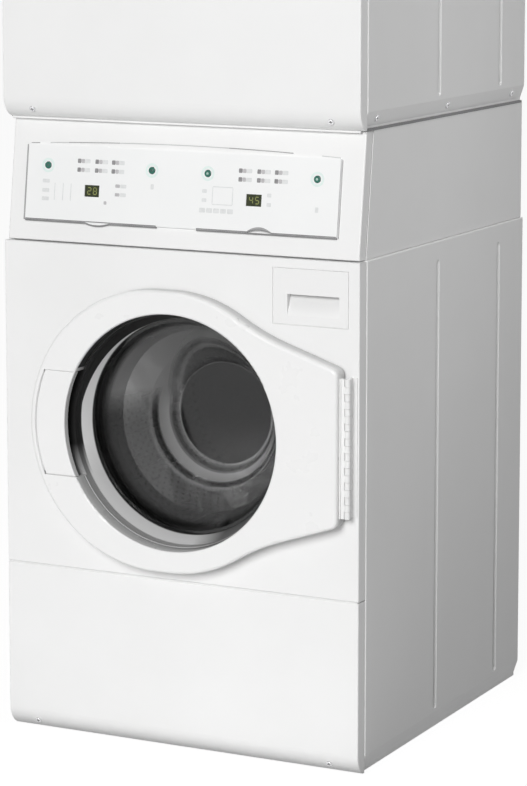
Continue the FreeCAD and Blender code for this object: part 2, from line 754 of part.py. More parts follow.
def control_button(u, v):
    """A round cap with a rim behind the overlay, which keeps it from falling out."""
    rim_top = -BUTTON_GAP
    cap = rod_y(u, Z_CONSOLE + v, BUTTON_R, CONSOLE_FOOT_IN - OVERLAY_T - BUTTON_PROUD,
                CONSOLE_FOOT_IN - rim_top)
    cap = fillet(cap, BUTTON_PROUD / 2, at_depth(CONSOLE_FOOT_IN - OVERLAY_T - BUTTON_PROUD))
    rim = rod_y(u, Z_CONSOLE + v, BUTTON_R + BUTTON_RIM, CONSOLE_FOOT_IN - rim_top,
                CONSOLE_FOOT_IN - rim_top + BUTTON_RIM_T)
    return tilted(union([cap, rim]))


# Washer door

def door_block(smaller, d0, d1):
    """The door's outline, drawn in by a margin and extruded between two depths."""
    radius = DOOR_R - smaller
    edge = DOOR_EDGE_X - smaller
    flare = FLARE_R + smaller
    slope = math.radians(FLARE_ANGLE)
    nx, nz = math.sin(slope), math.cos(slope)
    flank = DOOR_EDGE_X * nx + DOOR_EDGE_H / 2 * nz - smaller
    leave = math.pi / 2 - slope - math.acos((flank + flare) / (radius + flare))
    cx, cz = (radius + flare) * math.cos(leave), (radius + flare) * math.sin(leave)
    bx, bz = math.cos(leave) + nx, math.sin(leave) + nz
    scale = flare / math.hypot(bx, bz)
    early = (math.pi / 2 + leave) / 2

    def at(x, z):
        return Vector(x, deep(d0), Z_AXIS + z)

    def half(sign):
        """Points from the ring's top, or bottom, to the hinge edge."""
        return [at(-DOOR_STRETCH, sign * radius), at(0, sign * radius),
                at(radius * math.cos(early), sign * radius * math.sin(early)),
                at(radius * math.cos(leave), sign * radius * math.sin(leave)),
                at(cx - bx * scale, sign * (cz - bz * scale)),
                at(cx - flare * nx, sign * (cz - flare * nz)),
                at(edge, sign * (flank - edge * nx) / nz)]

    up, low = half(1), half(-1)
    edges = [line(up[0], up[1]), arc(up[1], up[2], up[3]), arc(up[3], up[4], up[5]), line(up[5], up[6]),
             line(up[6], low[6]), line(low[6], low[5]), arc(low[5], low[4], low[3]),
             arc(low[3], low[2], low[1]), line(low[1], low[0]),
             arc(low[0], at(-DOOR_STRETCH - radius, 0), up[0])]
    block = Part.Face(Part.Wire(edges)).extrude(Vector(0, d1 - d0, 0))
    corner_x = edge - EPS
    return fillet(block, DOOR_CORNER - smaller,
                  lambda b: b.XMin > corner_x and same(b.YMax - b.YMin, d1 - d0))


def grip_zone(end_gap, d0, d1):
    """The slice of the door that the grip lies in."""
    half = HANDLE_H / 2 - end_gap
    return box(-DOOR_STRETCH - DOOR_R, -DOOR_OPEN_R / 2, d0, d1, Z_AXIS - half, Z_AXIS + half)


def pivot_place():
    """X and depth of the grip's pivot."""
    return PIVOT_IN - DOOR_STRETCH - DOOR_R, PIVOT_DEEP - DOOR_PROUD


def door_ring():
    """Hollow white ring, with a window for the grip and bosses for its pivot."""
    block = fillet(door_block(0, -DOOR_PROUD, -DOOR_BACK), DOOR_ROUND, at_depth(-DOOR_PROUD))
    inside = -DOOR_PROUD + DOOR_WALL
    cavity = fillet(door_block(DOOR_WALL, inside, PAST), DOOR_ROUND - DOOR_WALL, at_depth(inside))
    cavity = cavity.cut(rod_y(0, Z_AXIS, DOOR_OPEN_R + DOOR_WALL, inside - PAST, 2 * PAST))
    shell = block.cut(cavity)
    hole = rod_y(0, Z_AXIS, DOOR_OPEN_R, -DOOR_PROUD - PAST, PAST)
    shell = shell.cut(hole)
    lip = [e for e in shell.Edges if at_depth(-DOOR_PROUD)(e.BoundBox)
           and e.BoundBox.XMax < DOOR_OPEN_R + EPS and e.BoundBox.XMin > -DOOR_OPEN_R - EPS]
    shell = shell.makeFillet(DOOR_WALL - EPS, lip)
    window = door_block(HANDLE_RIM, -DOOR_PROUD - PAST, PAST).common(grip_zone(0, -DOOR_PROUD - PAST, PAST))
    shell = shell.cut(window)
    x, depth = pivot_place()
    for sign in (1, -1):
        z0 = Z_AXIS + sign * HANDLE_H / 2
        z1 = z0 + sign * (PIVOT_LEN + DOOR_WALL)
        low, high = min(z0, z1), max(z0, z1)
        boss = box(x - PIVOT_BOSS, x + PIVOT_BOSS, inside - EPS, depth + PIVOT_BOSS, low, high)
        bore = rod_z(x, depth, PIVOT_R + RUN, low - PAST, high + PAST)
        shell = union([shell, boss]).cut(bore)
    return shell


def door_handle():
    """Grip plate that fills the window, with its pivot pins and the latch hook."""
    front, back = -DOOR_PROUD, HANDLE_T - DOOR_PROUD
    plate = door_block(HANDLE_RIM + HANDLE_GAP, front, back).common(grip_zone(HANDLE_END_GAP, front, back))
    plate = plate.cut(rod_y(0, Z_AXIS, DOOR_OPEN_R, front - PAST, back + PAST))
    plate = fillet(plate, HANDLE_ROUND, at_depth(front))
    x, depth = pivot_place()
    reach = HANDLE_H / 2 + PIVOT_LEN
    pins = rod_z(x, depth, PIVOT_R, Z_AXIS - reach, Z_AXIS + reach)
    hook = box(x - HOOK_IN - HOOK_T, x - HOOK_IN, back - PAST, HOOK_REACH,
               Z_AXIS - HOOK_H / 2, Z_AXIS + HOOK_H / 2)
    return union([plate, pins, hook])


def hook_slot(d0, d1):
    """Room that the hook needs where it passes through the panel and into the lock."""
    x, _ = pivot_place()
    half = HOOK_H / 2 + HOOK_GAP
    return box(x - HOOK_IN - HOOK_T - HOOK_GAP, x - HOOK_IN + HOOK_SWEEP + HOOK_GAP, d0, d1,
               Z_AXIS - half, Z_AXIS + half)


def door_lock():
    slot = hook_slot(SHEET, HOOK_REACH + HOOK_GAP).BoundBox
    body = box(slot.XMin - LOCK_WALL, slot.XMax + LOCK_WALL, SHEET, LOCK_D,
               Z_AXIS - LOCK_H / 2, Z_AXIS + LOCK_H / 2)
    return body.cut(hook_slot(SHEET - PAST, HOOK_REACH + HOOK_GAP))


def door_trim():
    """Back cover of the door, and the rim that narrows to the glass and holds it in a groove."""
    back = -DOOR_BACK + TRIM_PLATE
    plate = door_block(TRIM_EDGE, -DOOR_BACK, back)
    inner_r = TRIM_R - TRIM_WALL
    lip_r = inner_r - GLASS_SEAT
    seat = TRIM_DEEP - TRIM_LIP
    groove = seat - GLASS_T - FIT
    rim = lathe_y(0, Z_AXIS, [(TRIM_FRONT, TRIM_R), (TRIM_FRONT, inner_r), (BEZEL_FRONT, inner_r),
                              (groove, lip_r), (groove, inner_r), (seat, inner_r), (seat, lip_r),
                              (TRIM_DEEP, lip_r), (TRIM_DEEP, TRIM_R)])
    plate_ring = plate.cut(rod_y(0, Z_AXIS, inner_r, -DOOR_BACK - PAST, back + PAST))
    trim = union([plate_ring, rim])
    half = HANDLE_H / 2
    finger = box(-DOOR_OPEN_R, -DOOR_OPEN_R / 2, TRIM_FRONT - PAST, TRIM_FRONT + TRIM_NOTCH - DOOR_BACK,
                 Z_AXIS - half, Z_AXIS + half)
    return trim.cut(finger.cut(plate)).cut(hook_slot(-DOOR_BACK - PAST, back + PAST))


def door_glass():
    """Deep clear bowl, with its rim in the trim and its nose inside the drum."""
    seat = TRIM_DEEP - TRIM_LIP
    rim_r = TRIM_R - TRIM_WALL - FIT
    wall_r = TRIM_R - TRIM_WALL - GLASS_SEAT - FIT
    inner = [(seat - GLASS_T, wall_r - GLASS_T), (BOWL_MID_D, BOWL_MID_R - GLASS_T),
             (BOWL_STEP_D, BOWL_STEP_R - GLASS_T), (BOWL_NOSE_D, BOWL_NOSE_R - GLASS_T),
             (BOWL_TIP_D, BOWL_TIP_R), (BOWL_TIP_D, 0)]
    outer = [(BOWL_TIP_D + GLASS_T, 0), (BOWL_TIP_D + GLASS_T, BOWL_TIP_R),
             (BOWL_NOSE_D + GLASS_T / 2, BOWL_NOSE_R), (BOWL_STEP_D + GLASS_T / 2, BOWL_STEP_R),
             (BOWL_MID_D, BOWL_MID_R), (seat, wall_r), (seat, rim_r), (seat - GLASS_T, rim_r)]
    return lathe_y(0, Z_AXIS, inner + outer)


def hinge(axis_x, out, edge_x, z0, z1, knuckles, leaf_w):
    """Frame leaf with its pin, and door leaf, of a hinge that stands in front of a panel."""
    pitch = (z1 - z0) / knuckles
    clear = KNUCKLE_R + KNUCKLE_GAP
    frame = [box(axis_x - KNUCKLE_R, axis_x - KNUCKLE_R + leaf_w, -LEAF_T, 0, z0, z1),
             box(axis_x - LEAF_T, axis_x + LEAF_T, clear - out, -LEAF_T, z0, z1),
             rod_z(axis_x, -out, PIN_R, z0, z1)]
    door = [box(edge_x, edge_x + LEAF_T, -out - KNUCKLE_R, -out + KNUCKLE_R, z0, z1),
            box(edge_x, axis_x - clear, -out - LEAF_T, -out + LEAF_T, z0, z1)]
    for k in range(knuckles):
        low, high = z0 + k * pitch + KNUCKLE_GAP / 2, z0 + (k + 1) * pitch - KNUCKLE_GAP / 2
        barrel = rod_z(axis_x, -out, KNUCKLE_R, low, high)
        if k % 2 == 0:
            frame += [barrel, box(axis_x - LEAF_T, axis_x + LEAF_T, -out, -LEAF_T, low, high)]
        else:
            door += [barrel, box(edge_x, axis_x, -out - LEAF_T, -out + LEAF_T, low, high)]
    bore = rod_z(axis_x, -out, PIN_R + RUN, z0 - PAST, z1 + PAST)
    return union(frame), union(door).cut(bore)


# Washer inside

def washer_front_panel():
    panel = tray(Z_LOW_SEAM + SEAM / 2, Z_CONSOLE - SEAM / 2)
    panel = panel.cut(rod_y(0, Z_AXIS, PANEL_HOLE_R, -PAST, WRAP / 2))
    panel = panel.cut(drawer_cutout(-PAST, WRAP / 2))
    return panel.cut(hook_slot(-PAST, WRAP / 2))


def door_gasket():
    """Bellows ring from the front panel to the tub, with one fold."""
    front, back = SHEET, TUB_FRONT
    middle = (front + back) / 2
    out = GASKET_R + GASKET_T
    lip = SEAL_LIP_R
    fold = out + GASKET_FOLD
    profile = [(front, GASKET_R), (front, lip), (front + GASKET_T, lip), (front + GASKET_T, out),
               (middle - GASKET_FOLD, out), (middle, fold), (middle + GASKET_FOLD, out),
               (back - GASKET_T, out), (back - GASKET_T, lip), (back, lip), (back, GASKET_R),
               (middle + GASKET_FOLD - GASKET_T, GASKET_R), (middle, fold - GASKET_T),
               (middle - GASKET_FOLD + GASKET_T, GASKET_R)]
    return lathe_y(0, Z_AXIS, profile)


def outer_tub():
    """Barrel of the tub with its spring ears and damper lugs, and the back that carries the hub."""
    joint = TUB_BACK - TUB_WALL
    body = rod_y(0, Z_AXIS, TUB_R, TUB_FRONT, joint)
    half = EAR_W / 2
    reach = SPRING_X + half
    ears = box(-reach, reach, TUB_MID - half, TUB_MID + half, Z_AXIS + EAR_UP - EAR_T, Z_AXIS + EAR_UP)
    z_lug = Z_AXIS - LUG_DROP
    lugs = [box(x - LUG_W / 2, x + LUG_W / 2, TUB_MID - half, TUB_MID + half, z_lug, z_lug + LUG_T)
            for x in (-DAMPER_X, DAMPER_X)]
    barrel = union([body, ears] + lugs)
    barrel = barrel.cut(rod_y(0, Z_AXIS, TUB_R - TUB_WALL, TUB_FRONT + TUB_WALL, joint + PAST))
    barrel = barrel.cut(rod_y(0, Z_AXIS, TUB_MOUTH_R, TUB_FRONT - PAST, TUB_FRONT + TUB_WALL + PAST))
    cap = rod_y(0, Z_AXIS, TUB_R, joint, TUB_BACK)
    hub = rod_y(0, Z_AXIS, HUB_R, HUB_FRONT, HUB_BACK)
    cap = union([cap, hub]).cut(rod_y(0, Z_AXIS, BEARING_R, HUB_FRONT - PAST, HUB_BACK + PAST))
    return [barrel, cap]


def tub_bearings():
    fronts = (HUB_FRONT + FIT, HUB_BACK - BEARING_L - FIT)
    return [tube_y(0, Z_AXIS, BEARING_R, SHAFT_R + RUN, front, front + BEARING_L) for front in fronts]


def washer_drum():
    """Drum shell with a rolled mouth, closed at the back."""
    drum = rod_y(0, Z_AXIS, DRUM_R, DRUM_FRONT, DRUM_BACK)
    drum = drum.cut(rod_y(0, Z_AXIS, DRUM_R - DRUM_SHEET, DRUM_FRONT + DRUM_SHEET, DRUM_BACK - DRUM_SHEET))
    drum = drum.cut(rod_y(0, Z_AXIS, DRUM_MOUTH_R, DRUM_FRONT - PAST, DRUM_FRONT + 2 * DRUM_SHEET))
    lip = tube_y(0, Z_AXIS, DRUM_MOUTH_R + DRUM_SHEET, DRUM_MOUTH_R, DRUM_FRONT, DRUM_FRONT + DRUM_LIP)
    return union([drum, lip])


def paddle(radius, foot, top, height, wall, d0, d1, axis_z, turn):
    """A hollow wedge that stands on the inside of a drum and points to its axis."""
    drop = math.sqrt(radius ** 2 - foot ** 2 / 4)
    profile = [(-foot / 2, axis_z - drop), (foot / 2, axis_z - drop),
               (top / 2, axis_z - drop + height), (-top / 2, axis_z - drop + height)]
    core = inset(profile, wall)
    core[0] = (core[0][0], axis_z - drop - PAST)
    core[1] = (core[1][0], axis_z - drop - PAST)
    wedge = prism_y(profile, d0, d1).cut(prism_y(core, d0 + wall, d1 - wall))
    wedge.rotate(Vector(0, 0, axis_z), TRAVEL, turn)
    return wedge


def drum_lifters():
    d0, d1 = DRUM_FRONT + LIFTER_GAP, DRUM_BACK - LIFTER_GAP
    radius = DRUM_R - DRUM_SHEET - FIT
    return [paddle(radius, LIFTER_FOOT, LIFTER_TOP, LIFTER_H, LIFTER_WALL, d0, d1, Z_AXIS, k * 360 / LIFTERS)
            for k in range(LIFTERS)]


def drum_shaft():
    """Spider bolted to the drum's back, with the shaft that runs in the bearings."""
    hub = rod_y(0, Z_AXIS, SPIDER_R, DRUM_BACK, DRUM_BACK + SPIDER_T)
    shaft = rod_y(0, Z_AXIS, SHAFT_R, DRUM_BACK, PULLEY_FRONT + PULLEY_W)
    arms = []
    for k in range(LIFTERS):
        arm = box(-SPIDER_ARM_W / 2, SPIDER_ARM_W / 2, DRUM_BACK, DRUM_BACK + SPIDER_T,
                  Z_AXIS, Z_AXIS + SPIDER_ARM_R)
        arm.rotate(Vector(0, 0, Z_AXIS), TRAVEL, k * 360 / LIFTERS)
        arms.append(arm)
    return union([hub, shaft] + arms)


def drum_pulley():
    d0, d1 = PULLEY_FRONT, PULLEY_FRONT + PULLEY_W
    middle = (d0 + d1) / 2
    rim = tube_y(0, Z_AXIS, PULLEY_R, PULLEY_R - PULLEY_RIM, d0, d1)
    web = tube_y(0, Z_AXIS, PULLEY_R - PULLEY_RIM, SHAFT_R, middle - PULLEY_WEB / 2, middle + PULLEY_WEB / 2)
    hub = tube_y(0, Z_AXIS, PULLEY_HUB_R, SHAFT_R, d0, d1)
    return union([rim, web, hub])


def belt(big, small, d0, d1):
    """Flat belt round two pulleys, each given as X, Z and radius."""
    def loop(grow):
        (ax, az, ar), (bx, bz, br) = big, small
        ar, br = ar + grow, br + grow
        along = math.atan2(bz - az, bx - ax)
        lean = math.acos((ar - br) / math.hypot(bx - ax, bz - az))

        def at(x, z, radius, angle):
            return Vector(x + radius * math.cos(angle), deep(d0), z + radius * math.sin(angle))

        left, right = along - lean, along + lean
        far = along + math.pi
        a1, a2, a3 = at(ax, az, ar, left), at(ax, az, ar, far), at(ax, az, ar, right)
        b1, b2, b3 = at(bx, bz, br, left), at(bx, bz, br, along), at(bx, bz, br, right)
        wire = Part.Wire([arc(a1, a2, a3), line(a3, b3), arc(b3, b2, b1), line(b1, a1)])
        return Part.Face(wire).extrude(Vector(0, d1 - d0, 0))

    return loop(BELT_GAP + BELT_T).cut(loop(BELT_GAP))


def washer_belt():
    middle = PULLEY_FRONT + PULLEY_W / 2
    return belt((0, Z_AXIS, PULLEY_R), (0, Z_AXIS - MOTOR_DROP, MOTOR_PULLEY_R),
                middle - BELT_W / 2, middle + BELT_W / 2)


def washer_motor():
    """Motor under the tub, on a saddle that follows the tub's curve."""
    z = Z_AXIS - MOTOR_DROP
    body = rod_y(0, z, MOTOR_R, MOTOR_FRONT, MOTOR_BACK)
    back = min(MOTOR_BACK, TUB_BACK) - MOTOR_SADDLE / 2
    saddle = box(-MOTOR_SADDLE, MOTOR_SADDLE, MOTOR_FRONT + MOTOR_SADDLE / 2, back, z, Z_AXIS)
    saddle = saddle.cut(rod_y(0, Z_AXIS, TUB_R + FIT, MOTOR_FRONT, MOTOR_BACK))
    bore = rod_y(0, z, MOTOR_SHAFT_R + RUN, (MOTOR_FRONT + MOTOR_BACK) / 2, MOTOR_BACK + PAST)
    return union([body, saddle]).cut(bore)


def motor_pulley():
    z = Z_AXIS - MOTOR_DROP
    shaft = rod_y(0, z, MOTOR_SHAFT_R, (MOTOR_FRONT + MOTOR_BACK) / 2 + FIT, PULLEY_FRONT + PULLEY_W)
    wheel = rod_y(0, z, MOTOR_PULLEY_R, PULLEY_FRONT, PULLEY_FRONT + PULLEY_W)
    return union([shaft, wheel])


def tub_counterweights():
    ring = tube_y(0, Z_AXIS, WEIGHT_OUT_R, WEIGHT_IN_R, TUB_FRONT - WEIGHT_L, TUB_FRONT)
    upper = box(-TUB_R, TUB_R, 0, TUB_BACK, Z_AXIS + WEIGHT_CLEAR, Z_AXIS + TUB_R)
    lower = box(-TUB_R, TUB_R, 0, TUB_BACK, Z_AXIS - TUB_R, Z_AXIS - WEIGHT_CLEAR)
    return [ring.common(upper), ring.common(lower)]


def spring_hanger():
    z = Z_CONSOLE - HANGER_DROP
    half = HANGER_W / 2
    return box(HALF - HANGER_REACH, HALF - SHEET, TUB_MID - half, TUB_MID + half, z, z + HANGER_T)


def suspension_springs():
    z0, z1 = Z_AXIS + EAR_UP, Z_CONSOLE - HANGER_DROP
    right = rod_z(SPRING_X, TUB_MID, SPRING_R, z0, z1)
    right = right.cut(rod_z(SPRING_X, TUB_MID, SPRING_BORE, z0 - PAST, z1 + PAST))
    return [right, mirrored(right)]


def damper_cylinders():
    z0 = Z_BASE + BASE_T
    right = rod_z(DAMPER_X, TUB_MID, DAMPER_R, z0, z0 + DAMPER_H)
    right = right.cut(rod_z(DAMPER_X, TUB_MID, DAMPER_BORE, z0 + DAMPER_FLOOR, z0 + DAMPER_H + PAST))
    return [right, mirrored(right)]


def damper_rods():
    z0 = Z_BASE + BASE_T + ROD_UP
    rod = rod_z(DAMPER_X, TUB_MID, ROD_R, z0, Z_AXIS - LUG_DROP)
    piston = rod_z(DAMPER_X, TUB_MID, DAMPER_BORE - FIT, z0, z0 + PISTON_H)
    right = union([rod, piston])
    return [right, mirrored(right)]


def drain_pump():
    """Pump on the base, with its outlet through the rear panel."""
    z = Z_BASE + PUMP_UP
    back = CAB_D - PUMP_REAR
    body = rod_y(PUMP_X, z, PUMP_R, back - PUMP_L, back)
    foot = box(PUMP_X - PUMP_FOOT / 2, PUMP_X + PUMP_FOOT / 2, back - PUMP_L, back, Z_BASE + BASE_T, z)
    shoulder = rod_y(PUMP_X, z, SPIGOT_R + SHOULDER, back - PAST, CAB_D)
    spigot = rod_y(PUMP_X, z, SPIGOT_R, CAB_D - PAST, CAB_D + SPIGOT_OUT)
    return union([body, foot, shoulder, spigot])


def valve_places():
    z = Z_CONSOLE - VALVE_DROP
    return [(-VALVE_X - VALVE_PITCH / 2, z), (-VALVE_X + VALVE_PITCH / 2, z)]


def inlet_valves():
    valves = []
    for x, z in valve_places():
        half = VALVE_W / 2
        body = box(x - half, x + half, REAR_SKIN - VALVE_L, REAR_SKIN, z - half, z + half)
        shoulder = rod_y(x, z, THREAD_R + SHOULDER, REAR_SKIN - PAST, CAB_D)
        thread = rod_y(x, z, THREAD_R, CAB_D - PAST, CAB_D + THREAD_OUT)
        valves.append(union([body, shoulder, thread]))
    return valves


def washer_rear_panel():
    panel = rear_panel(Z_BASE, Z_CONSOLE)
    panel = panel.cut(rod_y(PUMP_X, Z_BASE + PUMP_UP, SPIGOT_R + SHOULDER + FIT, REAR_SKIN - PAST, CAB_D))
    for x, z in valve_places():
        panel = panel.cut(rod_y(x, z, THREAD_R + SHOULDER + FIT, REAR_SKIN - PAST, CAB_D))
    return panel


# Dispenser

def drawer_box(smaller, d0, d1):
    """The drawer's cut-out in the front panel, drawn in by a margin."""
    x = HALF - DRAWER_IN
    top = Z_CONSOLE - DRAWER_DROP
    return box(x - DRAWER_W / 2 + smaller, x + DRAWER_W / 2 - smaller, d0, d1,
               top - DRAWER_H + smaller, top - smaller)


def drawer_cutout(d0, d1):
    return drawer_box(0, d0, d1)


def tray_limits():
    """X limits and Z limits of the drawer's tray."""
    x = HALF - DRAWER_IN
    top = Z_CONSOLE - DRAWER_DROP
    half = DRAWER_W / 2 - TRAY_SIDE
    return x - half, x + half, top - DRAWER_H + TRAY_LIFT, top - TRAY_DROP


def dispenser_drawer():
    """Drawer face with a finger pocket, and a tray of open cells."""
    face = drawer_box(DRAWER_GAP, 0, DRAWER_FACE)
    face = fillet(face, DRAWER_GAP, at_depth(0))
    limits = drawer_box(0, 0, DRAWER_FACE).BoundBox
    x = HALF - DRAWER_IN + PULL_SHIFT
    low = limits.ZMin + PULL_UP
    pocket = prism_x([(-PAST, low), (0, low), (PULL_DEEP, low + PULL_H), (-PAST, low + PULL_H)],
                     x - PULL_W / 2, x + PULL_W / 2)
    x0, x1, z0, z1 = tray_limits()
    end = DRAWER_FACE + DRAWER_LEN
    tray_block = box(x0, x1, DRAWER_FACE - PAST, end, z0, z1)
    cell = (x1 - x0 - TRAY_WALL) / TRAY_CELLS
    for k in range(TRAY_CELLS):
        left = x0 + TRAY_WALL + k * cell
        tray_block = tray_block.cut(box(left, left + cell - TRAY_WALL, DRAWER_FACE + TRAY_WALL,
                                        end - TRAY_WALL, z0 + TRAY_WALL, z1 + PAST))
    return union([face.cut(pocket), tray_block])


def dispenser_housing():
    """Box that the tray runs in, hung on the back of the front panel."""
    x0, x1, z0, z1 = tray_limits()
    wall = HOUSING_WALL
    mouth_back = DRAWER_FACE + DRAWER_GAP
    end = DRAWER_FACE + DRAWER_LEN + HOUSING_TAIL
    block = box(x0 - FIT - wall, x1 + FIT + wall, mouth_back, end, z0 - FIT - wall, z1 + HOUSING_HEAD + wall)
    lip = drawer_box(-HOUSING_LIP, SHEET, SHEET + wall)
    sleeve = drawer_box(-wall, SHEET, mouth_back + wall)
    core = box(x0 - FIT, x1 + FIT, 0, end - wall, z0 - FIT, z1 + HOUSING_HEAD)
    mouth = drawer_box(0, 0, mouth_back)
    return union([block, lip, sleeve]).cut(core).cut(mouth)


# Dryer

def dryer_front_panel():
    panel = tray(Z_DRYER_SEAM + SEAM / 2, Z_LID - SEAM / 2)
    return panel.cut(rod_y(0, Z_DRYER_AXIS, DRYER_OPEN_R, -PAST, WRAP / 2))


def chute_depths():
    """Front and back of the lint chute's outside."""
    middle = (SHEET + BULKHEAD_D) / 2 + CHUTE_D / 2
    return middle - CHUTE_D / 2, middle + CHUTE_D / 2


def dryer_bulkhead():
    """Plate in front of the drum, and the throat ring in it with its collar and its glide."""
    side = INNER_HALF - FIT
    back = BULKHEAD_D + BULKHEAD_T
    plate = box(-side, side, BULKHEAD_D, back, Z_DRYER_SEAM, Z_LID - SHEET - FIT)
    plate = plate.cut(rod_y(0, Z_DRYER_AXIS, GLIDE_R + FIT, BULKHEAD_D - PAST, back + PAST))
    collar = rod_y(0, Z_DRYER_AXIS, DRYER_OPEN_R + COLLAR_T, SHEET, back)
    glide = rod_y(0, Z_DRYER_AXIS, GLIDE_R, BULKHEAD_D, back + GLIDE_L)
    ring = union([collar, glide]).cut(rod_y(0, Z_DRYER_AXIS, DRYER_OPEN_R, 0, back + PAST))
    ring = ring.cut(rod_y(0, Z_DRYER_AXIS, GLIDE_R - GLIDE_T, back, back + GLIDE_L + PAST))
    front, rear = chute_depths()
    slot = box(-CHUTE_HALF, CHUTE_HALF, front, rear, Z_DRYER_SEAM, Z_DRYER_AXIS)
    return [plate, ring.cut(slot)]


def dryer_drum():
    """Drum with a mouth that runs on the glide ring and a stub shaft at the back."""
    mouth = GLIDE_R + GLIDE_GAP
    sheet = DRYER_DRUM_SHEET
    drum = rod_y(0, Z_DRYER_AXIS, DRYER_DRUM_R, DRYER_DRUM_FRONT, DRYER_DRUM_BACK)
    drum = drum.cut(rod_y(0, Z_DRYER_AXIS, DRYER_DRUM_R - sheet, DRYER_DRUM_FRONT + sheet,
                          DRYER_DRUM_BACK - sheet))
    drum = drum.cut(rod_y(0, Z_DRYER_AXIS, mouth, DRYER_DRUM_FRONT - PAST, DRYER_DRUM_FRONT + 2 * sheet))
    lip = tube_y(0, Z_DRYER_AXIS, mouth + sheet, mouth, DRYER_DRUM_FRONT, DRYER_DRUM_FRONT + DRYER_LIP)
    stub = rod_y(0, Z_DRYER_AXIS, STUB_R, DRYER_DRUM_BACK - sheet, DRYER_DRUM_BACK + STUB_L)
    shell = union([drum, lip, stub])
    d0, d1 = DRYER_DRUM_FRONT + BAFFLE_GAP, DRYER_DRUM_BACK - BAFFLE_GAP
    baffles = [paddle(DRYER_DRUM_R - sheet - FIT, BAFFLE_FOOT, BAFFLE_TOP, BAFFLE_H, sheet, d0, d1,
                      Z_DRYER_AXIS, k * 360 / BAFFLES) for k in range(BAFFLES)]
    return [shell] + baffles


def dryer_rear_panel():
    """Back sheet with the drum's bearing boss, the exhaust port and the cable gland hole."""
    panel = rear_panel(Z_DRYER, Z_LID)
    front = DRYER_DRUM_BACK + BOSS_GAP
    boss = rod_y(0, Z_DRYER_AXIS, BOSS_R, front, REAR_SKIN + SHEET / 2)
    bore = rod_y(0, Z_DRYER_AXIS, STUB_R + RUN, front - PAST, DRYER_DRUM_BACK + STUB_L + PAST)
    panel = union([panel, boss]).cut(bore)
    panel = panel.cut(rod_y(EXHAUST_X, Z_DRYER + EXHAUST_UP, EXHAUST_R + FIT, REAR_SKIN - PAST, CAB_D))
    x = HALF - HEATER_IN - HEATER_W / 2
    for k in range(LOUVRES):
        z = Z_DRYER + LOUVRE_UP + k * LOUVRE_PITCH
        panel = panel.cut(box(x - LOUVRE_W / 2, x + LOUVRE_W / 2, REAR_SKIN - PAST, CAB_D, z, z + LOUVRE_H))
    return panel.cut(rod_y(GLAND_X, Z_DRYER + GLAND_UP, GLAND_R, REAR_SKIN - PAST, CAB_D))


def dryer_door_block(smaller, d0, d1):
    half = DRYER_DOOR / 2 - smaller
    block = box(-half, half, d0, d1, Z_DRYER_AXIS - half, Z_DRYER_AXIS + half)
    return fillet(block, DRYER_DOOR_CORNER - smaller, lambda b: same(b.YMax - b.YMin, d1 - d0))


def dryer_hinges():
    """Frame leaves and door leaves of the two dryer door hinges."""
    edge = DRYER_DOOR / 2
    pairs = []
    for sign in (-1, 1):
        middle = Z_DRYER_AXIS + sign * DRYER_HINGE_SPREAD / 2
        pairs.append(hinge(edge + DRYER_HINGE_IN, DRYER_HINGE_OUT, edge, middle - DRYER_HINGE_H / 2,
                           middle + DRYER_HINGE_H / 2, DRYER_KNUCKLES, DRYER_LEAF_W))
    return [pair[0] for pair in pairs], [pair[1] for pair in pairs]


def dryer_door_panel():
    """Hollow door skin with a finger pocket at its left edge and two hinge leaves."""
    wall = DRYER_DOOR_WALL
    front = -DRYER_DOOR_PROUD
    block = fillet(dryer_door_block(0, front, -DRYER_DOOR_BACK), DRYER_DOOR_ROUND, at_depth(front))
    inside = front + wall
    cavity = fillet(dryer_door_block(wall, inside, PAST), DRYER_DOOR_ROUND - wall, at_depth(inside))
    half = DRYER_DOOR / 2
    pocket_top = -DRYER_DOOR_BACK - GRIP_D
    keep = box(-half, GRIP_W + wall - half, pocket_top - wall, PAST,
               Z_DRYER_AXIS - GRIP_H / 2 - wall, Z_DRYER_AXIS + GRIP_H / 2 + wall)
    pocket = box(-half - PAST, GRIP_W - half, pocket_top, PAST,
                 Z_DRYER_AXIS - GRIP_H / 2, Z_DRYER_AXIS + GRIP_H / 2)
    skin = block.cut(cavity.cut(keep)).cut(pocket)
    return union([skin] + dryer_hinges()[1])


def dryer_door_liner():
    """Inner plate of the door, with the shallow dish that fills the opening."""
    d0, d1 = -DRYER_DOOR_BACK, -DRYER_DOOR_BACK + LINER_T
    plate = dryer_door_block(LINER_EDGE, d0, d1)
    half = DRYER_DOOR / 2
    grip = box(-half, GRIP_W - half, d0 - PAST, d1 + PAST,
               Z_DRYER_AXIS - GRIP_H / 2, Z_DRYER_AXIS + GRIP_H / 2)
    dish = rod_y(0, Z_DRYER_AXIS, PLUG_R, d0, PLUG_DEEP)
    hollow = rod_y(0, Z_DRYER_AXIS, PLUG_R - PLUG_WALL, d0 - PAST, PLUG_DEEP - PLUG_WALL)
    return union([plate.cut(grip), dish]).cut(hollow)


def dryer_belt():
    z = Z_DRYER + DRYER_MOTOR_UP
    return belt((0, Z_DRYER_AXIS, DRYER_DRUM_R), (DRYER_MOTOR_X, z, ROTOR_PULLEY_R),
                DRYER_BELT_D, DRYER_BELT_D + DRYER_BELT_W)


